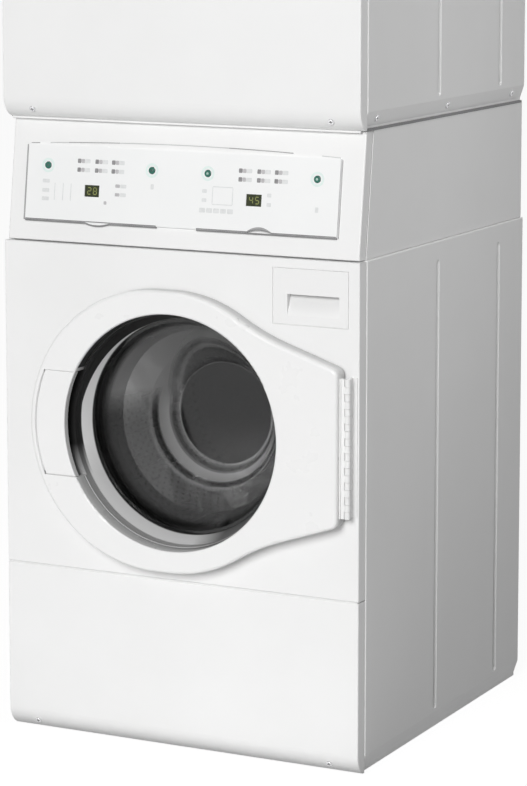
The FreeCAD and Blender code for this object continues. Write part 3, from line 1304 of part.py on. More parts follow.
def dryer_motor():
    """Motor housing on its foot, with a bore for the rotor shaft."""
    z = Z_DRYER + DRYER_MOTOR_UP
    body = rod_y(DRYER_MOTOR_X, z, DRYER_MOTOR_R, DRYER_MOTOR_FRONT, DRYER_MOTOR_BACK)
    foot = box(DRYER_MOTOR_X - DRYER_MOTOR_FOOT, DRYER_MOTOR_X + DRYER_MOTOR_FOOT, DRYER_MOTOR_FRONT,
               DRYER_MOTOR_BACK, Z_DRYER + BASE_T, z)
    bore = rod_y(DRYER_MOTOR_X, z, ROTOR_R + RUN, DRYER_MOTOR_FRONT - PAST, DRYER_MOTOR_BACK + PAST)
    return union([body, foot]).cut(bore)


def blower_rotor():
    """Motor shaft with the belt pulley, and the blower wheel on its front end."""
    x, z = DRYER_MOTOR_X, Z_DRYER + DRYER_MOTOR_UP
    shaft = rod_y(x, z, ROTOR_R, WHEEL_BACK - WHEEL_T, DRYER_MOTOR_BACK + ROTOR_TAIL)
    pulley = rod_y(x, z, ROTOR_PULLEY_R, DRYER_BELT_D - WHEEL_T, DRYER_BELT_D + DRYER_BELT_W + WHEEL_T)
    disc = rod_y(x, z, WHEEL_R, WHEEL_BACK - WHEEL_T, WHEEL_BACK)
    ring = tube_y(x, z, WHEEL_R, WHEEL_EYE_R, WHEEL_FRONT, WHEEL_FRONT + WHEEL_T)
    blades = []
    for k in range(WHEEL_BLADES):
        blade = box(x - WHEEL_T / 2, x + WHEEL_T / 2, WHEEL_FRONT + WHEEL_T / 2, WHEEL_BACK - WHEEL_T / 2,
                    z + WHEEL_EYE_R + WHEEL_T, z + WHEEL_R - WHEEL_T)
        blade.rotate(Vector(x, 0, z), TRAVEL, k * 360 / WHEEL_BLADES)
        blades.append(blade)
    return union([shaft, pulley, disc, ring] + blades)


def blower_housing():
    """Lint chute, plenum, scroll round the blower wheel and its outlet, as one shell."""
    x, z = DRYER_MOTOR_X, Z_DRYER + DRYER_MOTOR_UP
    front, rear = chute_depths()
    collar_r = DRYER_OPEN_R + COLLAR_T + FIT
    chute_top = Z_DRYER_AXIS - math.sqrt(collar_r ** 2 - CHUTE_HALF ** 2)
    low = Z_DRYER + PLENUM_UP
    high = low + PLENUM_H
    exit_z = Z_DRYER + EXHAUST_UP

    def cells(gap, top):
        """The four spaces of the shell, each drawn in by the wall on its inside."""
        return [box(-CHUTE_HALF + gap, CHUTE_HALF - gap, front + gap, rear - gap, high - DUCT_T - PAST, top),
                box(x - SCROLL_R + gap, CHUTE_HALF - gap, PLENUM_FRONT + gap, SCROLL_FRONT - gap,
                    low + gap, high - gap),
                rod_y(x, z, SCROLL_R - gap, SCROLL_FRONT + gap, SCROLL_BACK - gap),
                box(x, EXHAUST_X + OUTLET_HALF - gap, SCROLL_FRONT + gap, SCROLL_BACK - gap,
                    exit_z - OUTLET_HALF + gap, exit_z + OUTLET_HALF - gap)]

    shell = union(cells(0, chute_top)).cut(union(cells(DUCT_T, chute_top + PAST)))
    shell = shell.cut(rod_y(0, Z_DRYER_AXIS, collar_r, front - PAST, rear + PAST))
    shell = shell.cut(rod_y(x, z, WHEEL_EYE_R, SCROLL_FRONT - 2 * DUCT_T, SCROLL_FRONT + 2 * DUCT_T))
    shell = shell.cut(rod_y(x, z, ROTOR_R + DUCT_T, SCROLL_BACK - 2 * DUCT_T, SCROLL_BACK + PAST))
    port = rod_y(EXHAUST_X, exit_z, EXHAUST_R - EXHAUST_T, SCROLL_BACK - 2 * DUCT_T, SCROLL_BACK + PAST)
    return shell.cut(port)


def exhaust_duct():
    """Tube from the blower to the back, with a bead that stops against the rear panel."""
    z = Z_DRYER + EXHAUST_UP
    bore = EXHAUST_R - EXHAUST_T
    tube = tube_y(EXHAUST_X, z, EXHAUST_R, bore, SCROLL_BACK, CAB_D + DUCT_PROUD)
    skin = REAR_SKIN + SHEET
    bead = tube_y(EXHAUST_X, z, EXHAUST_R + EXHAUST_BEAD, bore, skin, skin + EXHAUST_BEAD)
    return union([tube, bead])


def lint_filter():
    """Flat screen frame that slides up out of the chute."""
    front, rear = chute_depths()
    middle = (front + rear) / 2
    half = CHUTE_HALF - DUCT_T - FILTER_SLACK
    top = Z_DRYER_AXIS - DRYER_OPEN_R + FILTER_GRIP
    frame = box(-half, half, middle - FILTER_T / 2, middle + FILTER_T / 2, top - FILTER_H, top)
    gap = box(FILTER_BAR - half, half - FILTER_BAR, middle - FILTER_T, middle - FILTER_T * 0.1,
              top - FILTER_H + FILTER_BAR, top - 2 * FILTER_BAR)
    return frame.cut(gap)


def heater_box():
    """Heater housing on the base, open at the front where air comes in."""
    x1 = HALF - HEATER_IN
    z0 = Z_DRYER + BASE_T
    back = CAB_D - SHEET - BASE_T - FIT
    block = box(x1 - HEATER_W, x1, back - HEATER_D, back, z0, z0 + HEATER_H)
    core = box(x1 - HEATER_W + HEATER_T, x1 - HEATER_T, back - HEATER_D - PAST, back - HEATER_T,
               z0 + HEATER_T, z0 + HEATER_H - HEATER_T)
    return block.cut(core)


os.makedirs("parts", exist_ok=True)

washer_side = side_panel(Z_BASE, Z_CONSOLE, spring_hanger())
dryer_side = side_panel(Z_DRYER, Z_LID)
save("washer_base", base_tray(Z_BASE))
save("levelling_feet", *levelling_feet())
save("washer_right_side", washer_side)
save("washer_left_side", mirrored(washer_side))
save("washer_rear_panel", washer_rear_panel())
save("washer_front_panel", washer_front_panel())
save("washer_lower_panel", tray(Z_BASE, Z_LOW_SEAM - SEAM / 2, toe=True))
save("panel_screws", *panel_screws())

save("console_fascia", console_fascia())
save("console_wrap", console_wrap())
save("control_overlay", control_overlay())
save("control_displays", *control_displays())
save("control_board", control_board())
button_names = ["washer_start_button", "washer_stop_button", "dryer_start_button", "dryer_stop_button"]
for name, (u, v) in zip(button_names, button_places()):
    save(name, control_button(u, v))

save("door_ring", door_ring())
save("door_handle", door_handle())
save("door_trim", door_trim())
save("door_glass", door_glass())
door_low = Z_AXIS - DOOR_EDGE_H / 2 + DOOR_CORNER
door_high = Z_AXIS + DOOR_EDGE_H / 2 - DOOR_CORNER
frame_leaf, door_leaf = hinge(HINGE_X, HINGE_OUT, DOOR_EDGE_X, door_low, door_high, KNUCKLES, LEAF_W)
save("hinge_frame_leaves", frame_leaf, *dryer_hinges()[0])
save("door_hinge_leaf", door_leaf)
save("door_lock", door_lock())
save("door_gasket", door_gasket())

save("outer_tub", *outer_tub(), *tub_bearings())
save("tub_counterweights", *tub_counterweights())
save("washer_drum", washer_drum())
save("drum_lifters", *drum_lifters())
save("drum_shaft", drum_shaft())
save("drum_pulley", drum_pulley())
save("washer_belt", washer_belt())
save("washer_motor", washer_motor())
save("motor_pulley", motor_pulley())
save("suspension_springs", *suspension_springs())
save("damper_cylinders", *damper_cylinders())
save("damper_rods", *damper_rods())
save("drain_pump", drain_pump())
save("inlet_valves", *inlet_valves())
save("dispenser_drawer", dispenser_drawer())
save("dispenser_housing", dispenser_housing())

save("dryer_base", base_tray(Z_DRYER))
save("dryer_right_side", dryer_side)
save("dryer_left_side", mirrored(dryer_side))
save("dryer_rear_panel", dryer_rear_panel())
save("dryer_top_panel", top_panel())
save("dryer_front_panel", dryer_front_panel())
save("dryer_lower_panel", tray(Z_DRYER, Z_DRYER_SEAM - SEAM / 2, toe=True))
bulkhead_plate, throat_ring = dryer_bulkhead()
save("dryer_bulkhead", bulkhead_plate)
save("dryer_throat_ring", throat_ring)
save("dryer_drum", *dryer_drum())
save("dryer_belt", dryer_belt())
save("dryer_motor", dryer_motor())
save("blower_rotor", blower_rotor())
save("blower_housing", blower_housing())
save("exhaust_duct", exhaust_duct())
save("lint_filter", lint_filter())
save("heater_box", heater_box())
save("dryer_door_panel", dryer_door_panel())
save("dryer_door_liner", dryer_door_liner())
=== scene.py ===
# %% [markdown]
# A stacked washer dryer, dressed for rendering. The shapes come in as a fixed frame in metres:
# +X is to the viewer's right, +Y runs from the front to the back and +Z runs up from the floor.
# Everything that follows gives those shapes their finishes, and adds the small pieces that carry
# the look. No solid of the frame is moved or reshaped, and two plain ones give way to finer pieces.

# %% Load the frame
import bmesh
import bpy
import json
import math
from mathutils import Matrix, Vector


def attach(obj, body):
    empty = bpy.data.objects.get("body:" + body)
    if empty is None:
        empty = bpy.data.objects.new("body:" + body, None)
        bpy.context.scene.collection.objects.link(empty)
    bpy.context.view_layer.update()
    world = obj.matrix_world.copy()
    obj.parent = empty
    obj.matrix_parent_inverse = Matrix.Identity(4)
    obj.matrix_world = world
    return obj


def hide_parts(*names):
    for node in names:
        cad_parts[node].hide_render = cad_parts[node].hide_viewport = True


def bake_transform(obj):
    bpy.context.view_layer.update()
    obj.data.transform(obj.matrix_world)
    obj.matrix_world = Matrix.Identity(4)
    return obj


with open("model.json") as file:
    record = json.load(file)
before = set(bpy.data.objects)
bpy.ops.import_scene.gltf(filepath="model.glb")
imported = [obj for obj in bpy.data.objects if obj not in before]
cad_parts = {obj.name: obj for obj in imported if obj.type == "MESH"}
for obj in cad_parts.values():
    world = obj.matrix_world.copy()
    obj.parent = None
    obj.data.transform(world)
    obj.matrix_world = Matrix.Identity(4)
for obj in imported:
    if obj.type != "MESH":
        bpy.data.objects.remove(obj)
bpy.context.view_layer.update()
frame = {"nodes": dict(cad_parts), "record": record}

# %% [markdown]
# The machine was designed in millimetres and in depths behind its front panels. Two short helpers
# keep those numbers readable here: one turns a depth into Y, the other finds a point on the slanted
# console by going across it, up the slope and out from its face. A piece that is placed this way
# sits on its carrier from every side.

# %% Places on the machine
MM = 0.001
FRONT_Y = -352.5                          # plane of the front panels
WASHER_AXIS = 562.0                       # height of the washer drum's axis
DRYER_AXIS = 1678.0
DRYER_FOOT = 1084.0                       # underside of the dryer
CONSOLE_FOOT = (6.0, 870.0)               # depth and height of the fascia's lower edge
CONSOLE_LEAN = math.atan2(28.0, 214.0)    # it leans back 28 over a rise of 214


def at(x, depth, z):
    """A point from millimetres: across, behind the front panels, above the floor."""
    return Vector((x, FRONT_Y + depth, z)) * MM


def on_console(u, v, out):
    """A point on the console: across, up its slope and out from the fascia."""
    s, c = math.sin(CONSOLE_LEAN), math.cos(CONSOLE_LEAN)
    return at(u, CONSOLE_FOOT[0] + v * s - out * c, CONSOLE_FOOT[1] + v * c + out * s)


print("overlay's middle:", tuple(round(c, 4) for c in on_console(0, 102, 4)))

# %% [markdown]
# The photograph looks at the machine from its right and from slightly above, through a long lens,
# so the upright edges stay nearly parallel. A camera can be set by eye, but here the lens, place and
# angle were solved from the seams and corners in the picture, which brings most edges onto their lines.
# The small vertical shift stands for the crop: the frame hangs a little lower than the lens axis.

# %% Camera
SENSOR = 36.0          # millimetres, along the picture's longer side
FOCAL = 2974           # focal length in pixels of the photograph
PHOTO_HEIGHT = 786     # pixels
DOWN, ROUND = 7.49, 26.94    # degrees that the camera looks down and stands to the right

camera = bpy.data.objects.new("camera", bpy.data.cameras.new("camera"))
bpy.context.scene.collection.objects.link(camera)
camera.location = (2.379, -4.7115, 1.521)
camera.rotation_euler = (math.radians(90 - DOWN), 0, math.radians(ROUND))
camera.data.sensor_width = SENSOR
camera.data.lens = FOCAL * SENSOR / PHOTO_HEIGHT
camera.data.shift_y = -0.18
bpy.context.scene.camera = camera
print("lens", round(camera.data.lens, 1), "mm")

# %% [markdown]
# White goods are photographed in a white room. One big soft source hangs high in front, to the right:
# it keeps the front even, grazes the side so that its pressed ribs catch a line of light, and leaves
# the upper half of the door's inner rim in shade. A weaker lamp lifts the upper side. A sun lamp
# would be simpler, but its shadows are too hard for a studio picture.

# %% Lamps
def lamp(name, place, aim, size, power, spread=180):
    """A soft rectangular lamp that looks at a point, with its spread in degrees."""
    light = bpy.data.objects.new(name, bpy.data.lights.new(name, "AREA"))
    bpy.context.scene.collection.objects.link(light)
    light.data.shape = "RECTANGLE"
    light.data.size, light.data.size_y = size
    light.data.energy = power
    light.data.spread = math.radians(spread)
    light.visible_camera = False
    light.location = place
    light.rotation_euler = (Vector(aim) - Vector(place)).to_track_quat("-Z", "Y").to_euler()


lamp("key", (1.1, -9.0, 4.3), (0, 0, 0.7), (4.0, 4.0), 735)
lamp("side", (2.2, 0.08, 1.9), (0.34, -0.1, 1.05), (0.8, 0.8), 2.5, 80)

# %% [markdown]
# The room is a plain world. It shows white to the camera and to mirrors, and a lower grey to the
# diffuse rays, so the shading keeps its depth: a world that is white for every ray would fill each
# hollow with light. The Light Path node tells the rays apart.

# %% Room
ROOM_GREY, ROOM_WHITE = 0.12, 1.0


def put(tree, kind, inputs=(), **settings):
    """Adds a node, with some of its inputs and settings filled in."""
    made = tree.nodes.new(kind)
    for key, value in settings.items():
        setattr(made, key, value)
    for key, value in dict(inputs).items():
        made.inputs[key].default_value = value
    return made


def sums(tree, operation, a, b=None):
    """One sum of two sockets or numbers."""
    made = put(tree, "ShaderNodeMath", operation=operation)
    for slot, value in zip(made.inputs, (a, b)):
        if isinstance(value, (int, float)):
            slot.default_value = value
        elif value is not None:
            tree.links.new(value, slot)
    return made.outputs[0]


def between(tree, source, low, high):
    """A value from 0 to 1, spread over a range."""
    made = put(tree, "ShaderNodeMapRange", {"To Min": low, "To Max": high})
    tree.links.new(source, made.inputs["Value"])
    return made.outputs[0]


def seen_directly(tree):
    """A socket that is 1 for camera, mirror and glass rays and 0 for diffuse light."""
    rays = put(tree, "ShaderNodeLightPath").outputs
    first = sums(tree, "MAXIMUM", rays["Is Camera Ray"], rays["Is Glossy Ray"])
    return sums(tree, "MAXIMUM", first, rays["Is Transmission Ray"])


bpy.context.scene.view_settings.view_transform = "Standard"
world = bpy.data.worlds.new("room")
bpy.context.scene.world = world
world.use_nodes = True
sky = world.node_tree
air = sky.nodes["Background"].inputs
air["Color"].default_value = (1, 1, 1, 1)
sky.links.new(between(sky, seen_directly(sky), ROOM_GREY, ROOM_WHITE), air["Strength"])
print("room:", world.name)

# %% [markdown]
# The floor is a wide pale sheet. It is lit like any matt surface, so the machine's shadow lies on it,
# and white is added for the rays that see it directly, which lifts it to the white of the room
# without touching the shading. In front it throws back more light than beside the machine, so the
# rolled toe is lit from below and the side stays grey.

# %% Floor
FLOOR = [(-30, -30, 0), (30, -30, 0), (30, 60, 0), (-30, 60, 0)]
NEAR, FAR = -0.3, -3.3     # a stretch of floor from the machine forwards, along Y
FLOOR_WHITE = 0.93


def axes(tree, place):
    """The three coordinates of a place."""
    parts = put(tree, "ShaderNodeSeparateXYZ")
    tree.links.new(place, parts.inputs[0])
    return parts.outputs


def step(tree, source, first, last):
    """0 up to one value and 1 from another."""
    made = put(tree, "ShaderNodeMapRange", {"From Min": first, "From Max": last})
    tree.links.new(source, made.inputs["Value"])
    return made.outputs[0]


def ramp(tree, source, stops):
    """Colours along a value, from two or more pairs of position and colour."""
    made = put(tree, "ShaderNodeValToRGB")
    marks = made.color_ramp.elements
    while len(marks) < len(stops):
        marks.new(0.5)
    for mark, (position, colour) in zip(marks, stops):
        mark.position = position
        mark.color = (*colour, 1)
    tree.links.new(source, made.inputs["Fac"])
    return made.outputs["Color"]


def greys(tree, source, stops):
    """Grey tones along a value."""
    return ramp(tree, source, [(position, (tone, tone, tone)) for position, tone in stops])


floor_mesh = bpy.data.meshes.new("floor")
floor_mesh.from_pydata(FLOOR, [], [(0, 1, 2, 3)])
floor = bpy.data.objects.new("floor", floor_mesh)
bpy.context.scene.collection.objects.link(floor)
pale = bpy.data.materials.new("pale_floor")
pale.use_nodes = True
sheet = pale.node_tree
coat = sheet.nodes["Principled BSDF"].inputs
spot = put(sheet, "ShaderNodeTexCoord").outputs["Object"]
ahead = step(sheet, axes(sheet, spot)["Y"], NEAR, FAR)
bounce = [(0.0, 0.14), (0.015, 0.14), (0.035, 0.9), (0.3, 0.9), (0.75, 0.4)]
sheet.links.new(greys(sheet, ahead, bounce), coat["Base Color"])
coat["Roughness"].default_value = 1.0
coat["Specular IOR Level"].default_value = 0.0
coat["Emission Color"].default_value = (1, 1, 1, 1)
sheet.links.new(between(sheet, seen_directly(sheet), 0.0, FLOOR_WHITE), coat["Emission Strength"])
floor_mesh.materials.append(pale)
print("floor from", FLOOR[0], "to", FLOOR[2])

# %% [markdown]
# Every finish here has three parts: a colour that drifts a little over the surface, a gloss that
# varies, and a fine relief. A single flat colour would be quicker, but real coats are never that even.
# One helper builds the three from noise in object coordinates, in metres, so a scale of 600 means
# grains of about 1.5 mm. Values that never change over the surface are set on the shader itself.

# %% A helper for finishes
finishes = {}


def shader(name):
    """A new material: its node tree, its shader and its object coordinates."""
    made = bpy.data.materials.new(name)
    made.use_nodes = True
    finishes[name] = made
    tree = made.node_tree
    return tree, tree.nodes["Principled BSDF"], put(tree, "ShaderNodeTexCoord").outputs["Object"]


def noise(tree, place, scale, detail=3.0, stretch=None):
    """Soft noise, optionally drawn out along the axes."""
    made = put(tree, "ShaderNodeTexNoise", {"Scale": scale, "Detail": detail})
    if stretch:
        pulled = put(tree, "ShaderNodeMapping", {"Scale": stretch})
        tree.links.new(place, pulled.inputs["Vector"])
        place = pulled.outputs["Vector"]
    tree.links.new(place, made.inputs["Vector"])
    return made.outputs["Fac"]


def gloss(tree, bsdf, source, low, high):
    """Roughness between two values."""
    tree.links.new(between(tree, source, low, high), bsdf.inputs["Roughness"])


def relief(tree, bsdf, source, strength, distance):
    """Fine relief from a height, with the distance in metres."""
    made = put(tree, "ShaderNodeBump", {"Strength": strength, "Distance": distance})
    tree.links.new(source, made.inputs["Height"])
    tree.links.new(made.outputs["Normal"], bsdf.inputs["Normal"])


def finish(name, dark, light, rough, grain, depth, drift=4.0, stretch=None, metal=0.0):
    """Two tones, two roughnesses, the grain's scale and depth, and the scale of the drift."""
    tree, bsdf, place = shader(name)
    cloud = noise(tree, place, drift, 4.0)
    tree.links.new(ramp(tree, cloud, [(0.35, dark), (0.65, light)]), bsdf.inputs["Base Color"])
    gloss(tree, bsdf, noise(tree, place, drift * 5, 3.0), *rough)
    relief(tree, bsdf, noise(tree, place, grain, 2.0, stretch), 0.5, depth)
    bsdf.inputs["Metallic"].default_value = metal
    return bsdf


print("helpers ready, finishes so far:", len(finishes))

# %% [markdown]
# The cabinet is steel with a sprayed enamel. Enamel is glossy under a faint orange peel, and bright
# white with the slightest cloudiness. The mouldings are white plastic: a touch warmer, with a finer
# grain and a softer gloss. The washer's door ring is white in front and turns grey down its flank, as
# painted shade near the panel, and the drawer's finger pocket turns grey with depth as painted shade
# too. A ramp along the depth gives that in one material, with no seam where one tone ends.

# %% White finishes
finish("white_enamel", (0.835, 0.835, 0.832), (0.86, 0.86, 0.858), (0.26, 0.36), 450, 0.00006)
finish("hinge_white", (0.80, 0.80, 0.797), (0.845, 0.845, 0.84), (0.32, 0.45), 700, 0.00005)
finish("console_white", (0.82, 0.82, 0.817), (0.85, 0.85, 0.847), (0.33, 0.44), 900, 0.00006)
finish("overlay_white", (0.835, 0.842, 0.84), (0.86, 0.866, 0.864), (0.40, 0.52), 1400, 0.00004)
finish("door_white", (0.84, 0.84, 0.838), (0.87, 0.87, 0.868), (0.24, 0.34), 800, 0.00004)
WARMTH = 0.997      # blue of white plastic, over its red and green


def by_depth(tree, place, first, last):
    """0 at one depth behind the front and 1 at another."""
    return step(tree, axes(tree, place)["Y"], (FRONT_Y + first) * MM, (FRONT_Y + last) * MM)


def painted_depth_shade(name, first, last, tones, rough):
    """White plastic that turns grey with depth."""
    tree, bsdf, place = shader(name)
    stops = [(share, (tone, tone, tone * WARMTH)) for share, tone in tones]
    tree.links.new(ramp(tree, by_depth(tree, place, first, last), stops), bsdf.inputs["Base Color"])
    gloss(tree, bsdf, noise(tree, place, 20.0), *rough)
    relief(tree, bsdf, noise(tree, place, 800, 2.0), 0.5, 0.00004)


# Painted shade: the ring's flank and the drawer's finger pocket turn grey with depth.
painted_depth_shade("ring_white_painted_shade", -34, -3, [(0.0, 0.855), (0.2, 0.84), (0.55, 0.6), (1.0, 0.5)], (0.24, 0.34))
painted_depth_shade("drawer_white", 0, 16, [(0.0, 0.835), (0.1, 0.83), (0.45, 0.74), (0.9, 0.64)], (0.32, 0.44))
print("white finishes:", len(finishes))

# %% [markdown]
# Rubber and dark plastic come next. The trim round the glass is nearly black with a moulded grain.
# The belts are ribbed along their run, which noise that is drawn out along two axes gives without
# any modelling, and the feet are ground rubber. These sit in shadow, so their gloss matters most.

# %% Dark plastics and rubbers
finish("trim_dark", (0.012, 0.012, 0.013), (0.02, 0.02, 0.021), (0.34, 0.48), 1100, 0.00008)
finish("foot_rubber", (0.018, 0.018, 0.018), (0.035, 0.035, 0.034), (0.7, 0.85), 700, 0.0002)
finish("grey_plastic", (0.17, 0.17, 0.175), (0.21, 0.21, 0.215), (0.42, 0.58), 900, 0.0001)
finish("tub_plastic", (0.52, 0.52, 0.50), (0.6, 0.6, 0.58), (0.45, 0.6), 700, 0.00012)
finish("belt_rubber", (0.012, 0.012, 0.012), (0.024, 0.024, 0.024), (0.6, 0.75), 160, 0.0006,
       stretch=(0.02, 2.5, 0.02))
finish("button_green", (0.012, 0.105, 0.075), (0.02, 0.14, 0.1), (0.2, 0.3), 1500, 0.00003, drift=120)
window = finish("display_yellow", (0.022, 0.028, 0.012), (0.034, 0.041, 0.018), (0.45, 0.55), 500,
                0.00002, drift=60)
window.inputs["Specular IOR Level"].default_value = 0.2
print("finishes:", len(finishes))

# %% [markdown]
# Metals differ by how they were made. Rolled stainless has long fine scratches, cast parts have a
# grainy skin, and zinc coated sheet shows spangle, the flat crystals that zinc forms as it sets. Noise
# has no edges, so it can't show crystals: a Voronoi pattern of cells about 12 mm wide gives them,
# with a tone of grey for each one.

# %% Metals
finish("steel", (0.5, 0.5, 0.505), (0.6, 0.6, 0.605), (0.2, 0.34), 300, 0.00005,
       stretch=(1, 0.04, 1), metal=1.0)
finish("screw_steel", (0.55, 0.55, 0.56), (0.66, 0.66, 0.67), (0.22, 0.32), 1200, 0.00004, metal=1.0)
finish("weight_iron", (0.07, 0.07, 0.07), (0.12, 0.118, 0.115), (0.6, 0.8), 260, 0.0006,
       drift=20, metal=0.6)
finish("cast_aluminium", (0.42, 0.42, 0.43), (0.56, 0.56, 0.57), (0.4, 0.55), 380, 0.0003,
       drift=14, metal=1.0)

tree, bsdf, place = shader("galvanised")
crystal = put(tree, "ShaderNodeTexVoronoi", {"Scale": 85.0})
tree.links.new(place, crystal.inputs["Vector"])
tone = put(tree, "ShaderNodeSeparateColor")
tree.links.new(crystal.outputs["Color"], tone.inputs["Color"])
zinc = [(0.0, (0.42, 0.43, 0.44)), (0.5, (0.5, 0.51, 0.52)), (1.0, (0.6, 0.61, 0.62))]
tree.links.new(ramp(tree, tone.outputs[0], zinc), bsdf.inputs["Base Color"])
gloss(tree, bsdf, tone.outputs[1], 0.34, 0.52)
relief(tree, bsdf, noise(tree, place, 500, 2.0), 0.4, 0.00005)
bsdf.inputs["Metallic"].default_value = 0.9
print("finishes with the metals:", len(finishes))

# %% [markdown]
# A control board is green lacquer over copper. It sits behind the fascia, so single tracks aren't
# worth modelling: a brick pattern of about 8 by 4 mm, with paler lines between the bricks, reads as
# its tracks.

# %% Control board
tree, bsdf, place = shader("board_green")
tracks = put(tree, "ShaderNodeTexBrick", {"Scale": 60.0, "Mortar Size": 0.06,
                                          "Color1": (0.01, 0.1, 0.04, 1),
                                          "Color2": (0.012, 0.13, 0.05, 1),
                                          "Mortar": (0.05, 0.22, 0.09, 1)})
tree.links.new(place, tracks.inputs["Vector"])
tree.links.new(tracks.outputs["Color"], bsdf.inputs["Base Color"])
relief(tree, bsdf, tracks.outputs["Fac"], 0.4, 0.0001)
gloss(tree, bsdf, noise(tree, place, 40), 0.25, 0.4)
print("finishes with the board:", len(finishes))

# %% [markdown]
# The door's inner rim is one moulding with light and shade painted into its colour. Its front edge is
# black over the upper half, painted shade, and fades to a lit grey below the grip, painted light. The
# cone that narrows to the glass is pale on the left, painted paler in the shaded upper half, thins out
# towards the top and turns grey to the right, and the lip at the glass is black all round. It could
# be cut into pieces of one tone each, but the tones run into each other. So ramps along the depth
# hold them, and the place across and up chooses one.

# %% Rim with painted light and shade
RIM_FRONT, RIM_BACK = -8, 42       # depths of the rim
BLACK = 0.012
FOOT_OF_CONE, LIP = 0.84, 0.88     # where the cone ends and the black lip begins, along the depth
PALE_FROM = 0.44                   # where the pale cone begins
THINNING = 0.4                     # how far its beginning goes back at the top


def length(tree, a, b):
    """Length from two sides at right angles."""
    squares = [sums(tree, "MULTIPLY", side, side) for side in (a, b)]
    return sums(tree, "SQRT", sums(tree, "ADD", *squares))


def from_axis(tree, place, axis_z):
    """Distance from an axis along Y, the offset across, the depth and the offset up."""
    x, y, z = axes(tree, place)
    up = sums(tree, "SUBTRACT", z, axis_z)
    return length(tree, x, up), x, y, up


def chosen(tree, share, low, high):
    """One of two colours, or a mix of them; a colour is a socket or four numbers."""
    made = put(tree, "ShaderNodeMix", data_type="RGBA")
    for slot, value in zip((0, 6, 7), (share, low, high)):
        if isinstance(value, tuple):
            made.inputs[slot].default_value = value
        else:
            tree.links.new(value, made.inputs[slot])
    return made.outputs[2]


tree, bsdf, place = shader("bezel_painted_light")
depth = by_depth(tree, place, RIM_FRONT, RIM_BACK)
_, x, _, up = from_axis(tree, place, WASHER_AXIS * MM)
thinned = sums(tree, "MULTIPLY", step(tree, up, 0.03, 0.17), THINNING)
past = sums(tree, "SUBTRACT", depth, thinned)
cone = greys(tree, depth, [(0.0, 0.86), (FOOT_OF_CONE, 0.8), (LIP, BLACK)])
# Painted shade: the upper copy has a black front edge, and its pale cone is brightened where it lies in
# shade.
shaded = chosen(tree, step(tree, past, PALE_FROM, PALE_FROM + 0.02), (BLACK, BLACK, BLACK, 1), cone)
# Painted light: the lower copy's front edge and cone are a lit grey.
lit = greys(tree, depth, [(0.0, 0.4), (0.36, 0.4), (0.4, 0.66), (FOOT_OF_CONE, 0.6), (LIP, BLACK)])
grey = greys(tree, depth, [(0.0, 0.2), (0.36, 0.2), (0.4, 0.14), (FOOT_OF_CONE, 0.1), (LIP, BLACK)])
left = chosen(tree, step(tree, up, -0.095, -0.04), lit, shaded)
tree.links.new(chosen(tree, step(tree, x, 0.02, 0.075), left, grey), bsdf.inputs["Base Color"])
gloss(tree, bsdf, noise(tree, place, 20), 0.3, 0.42)
relief(tree, bsdf, noise(tree, place, 1100), 0.4, 0.00006)
print("rim nodes:", len(tree.nodes))

# %% [markdown]
# The door seal is grey rubber with a black rim at its back. Two materials would need a cut in the
# mesh, so its colour is set by the depth behind the front instead.

# %% Seal rubber
tree, bsdf, place = shader("seal_rubber")
rubber = [(0.0, (0.42, 0.42, 0.43)), (0.3, (0.6, 0.6, 0.6)), (0.78, (0.5, 0.5, 0.5)),
          (0.81, (0.01, 0.01, 0.01))]
tree.links.new(ramp(tree, by_depth(tree, place, 0, 110), rubber), bsdf.inputs["Base Color"])
gloss(tree, bsdf, noise(tree, place, 50), 0.45, 0.6)
relief(tree, bsdf, noise(tree, place, 500), 0.4, 0.0001)
print("seal nodes:", len(tree.nodes))

# %% [markdown]
# The bowl is thick pressed glass. A transmission shader bends the view through it, as the real one
# does, and a slow ripple in its surface breaks up the reflections. Rings round the nose are painted
# reflections and highlights of the bowl's rounded steps: there the glass turns paler and scatters some
# light. The inner ring is drawn out upwards, and the outer ones end at the axis. Above the axis, where
# the glass lies in shade, it is painted paler towards the flank, as painted light. Below it the flank
# is painted a little paler too, and only its edge in the rim stays black. Clear glass alone would read
# as one dark disc. The paleness depends on the distance from the axis, so its amounts are listed by
# radius.

# %% Bowl glass
GLASS_R = 200.0                    # the radius that the lists are measured against
FLANK, EDGE = 170, 177             # radii where the etched flank ends and the black edge begins
DRAWN_OUT = 0.72                   # heights count for less in the upper rings
LOW_RINGS = [(0, 0.0), (87.5, 0.0), (90, 0.75), (93.5, 0.75), (96.5, 0.4), (101, 0.45), (104, 1.0),
             (115, 0.9), (118, 0.2), (122.5, 0.2), (124, 0.75), (127, 0.7), (129, 0.45),
             (FLANK, 0.45), (EDGE, 0.0)]
HIGH_RINGS = [(0, 0.0), (87.5, 0.0), (90, 0.8), (93.5, 0.8), (97, 0.5), (106, 0.85), (FLANK, 1.0)]
SLOPE = [(89, 0.0), (92, 0.42), (100, 0.6), (112, 0.6), (132, 0.42), (FLANK, 0.42), (EDGE, 0.0)]


def glass_paleness(tree, reach, amounts):
    """Amount of painted paleness along a distance, from pairs of radius and amount."""
    share = sums(tree, "DIVIDE", reach, GLASS_R * MM)
    return greys(tree, share, [(radius / GLASS_R, amount) for radius, amount in amounts])


tree, bsdf, place = shader("bowl_glass")
bsdf.inputs["IOR"].default_value = 1.46
bsdf.inputs["Specular IOR Level"].default_value = 0.27
reach, x, _, up = from_axis(tree, place, WASHER_AXIS * MM)
tall = length(tree, x, sums(tree, "MULTIPLY", up, DRAWN_OUT))
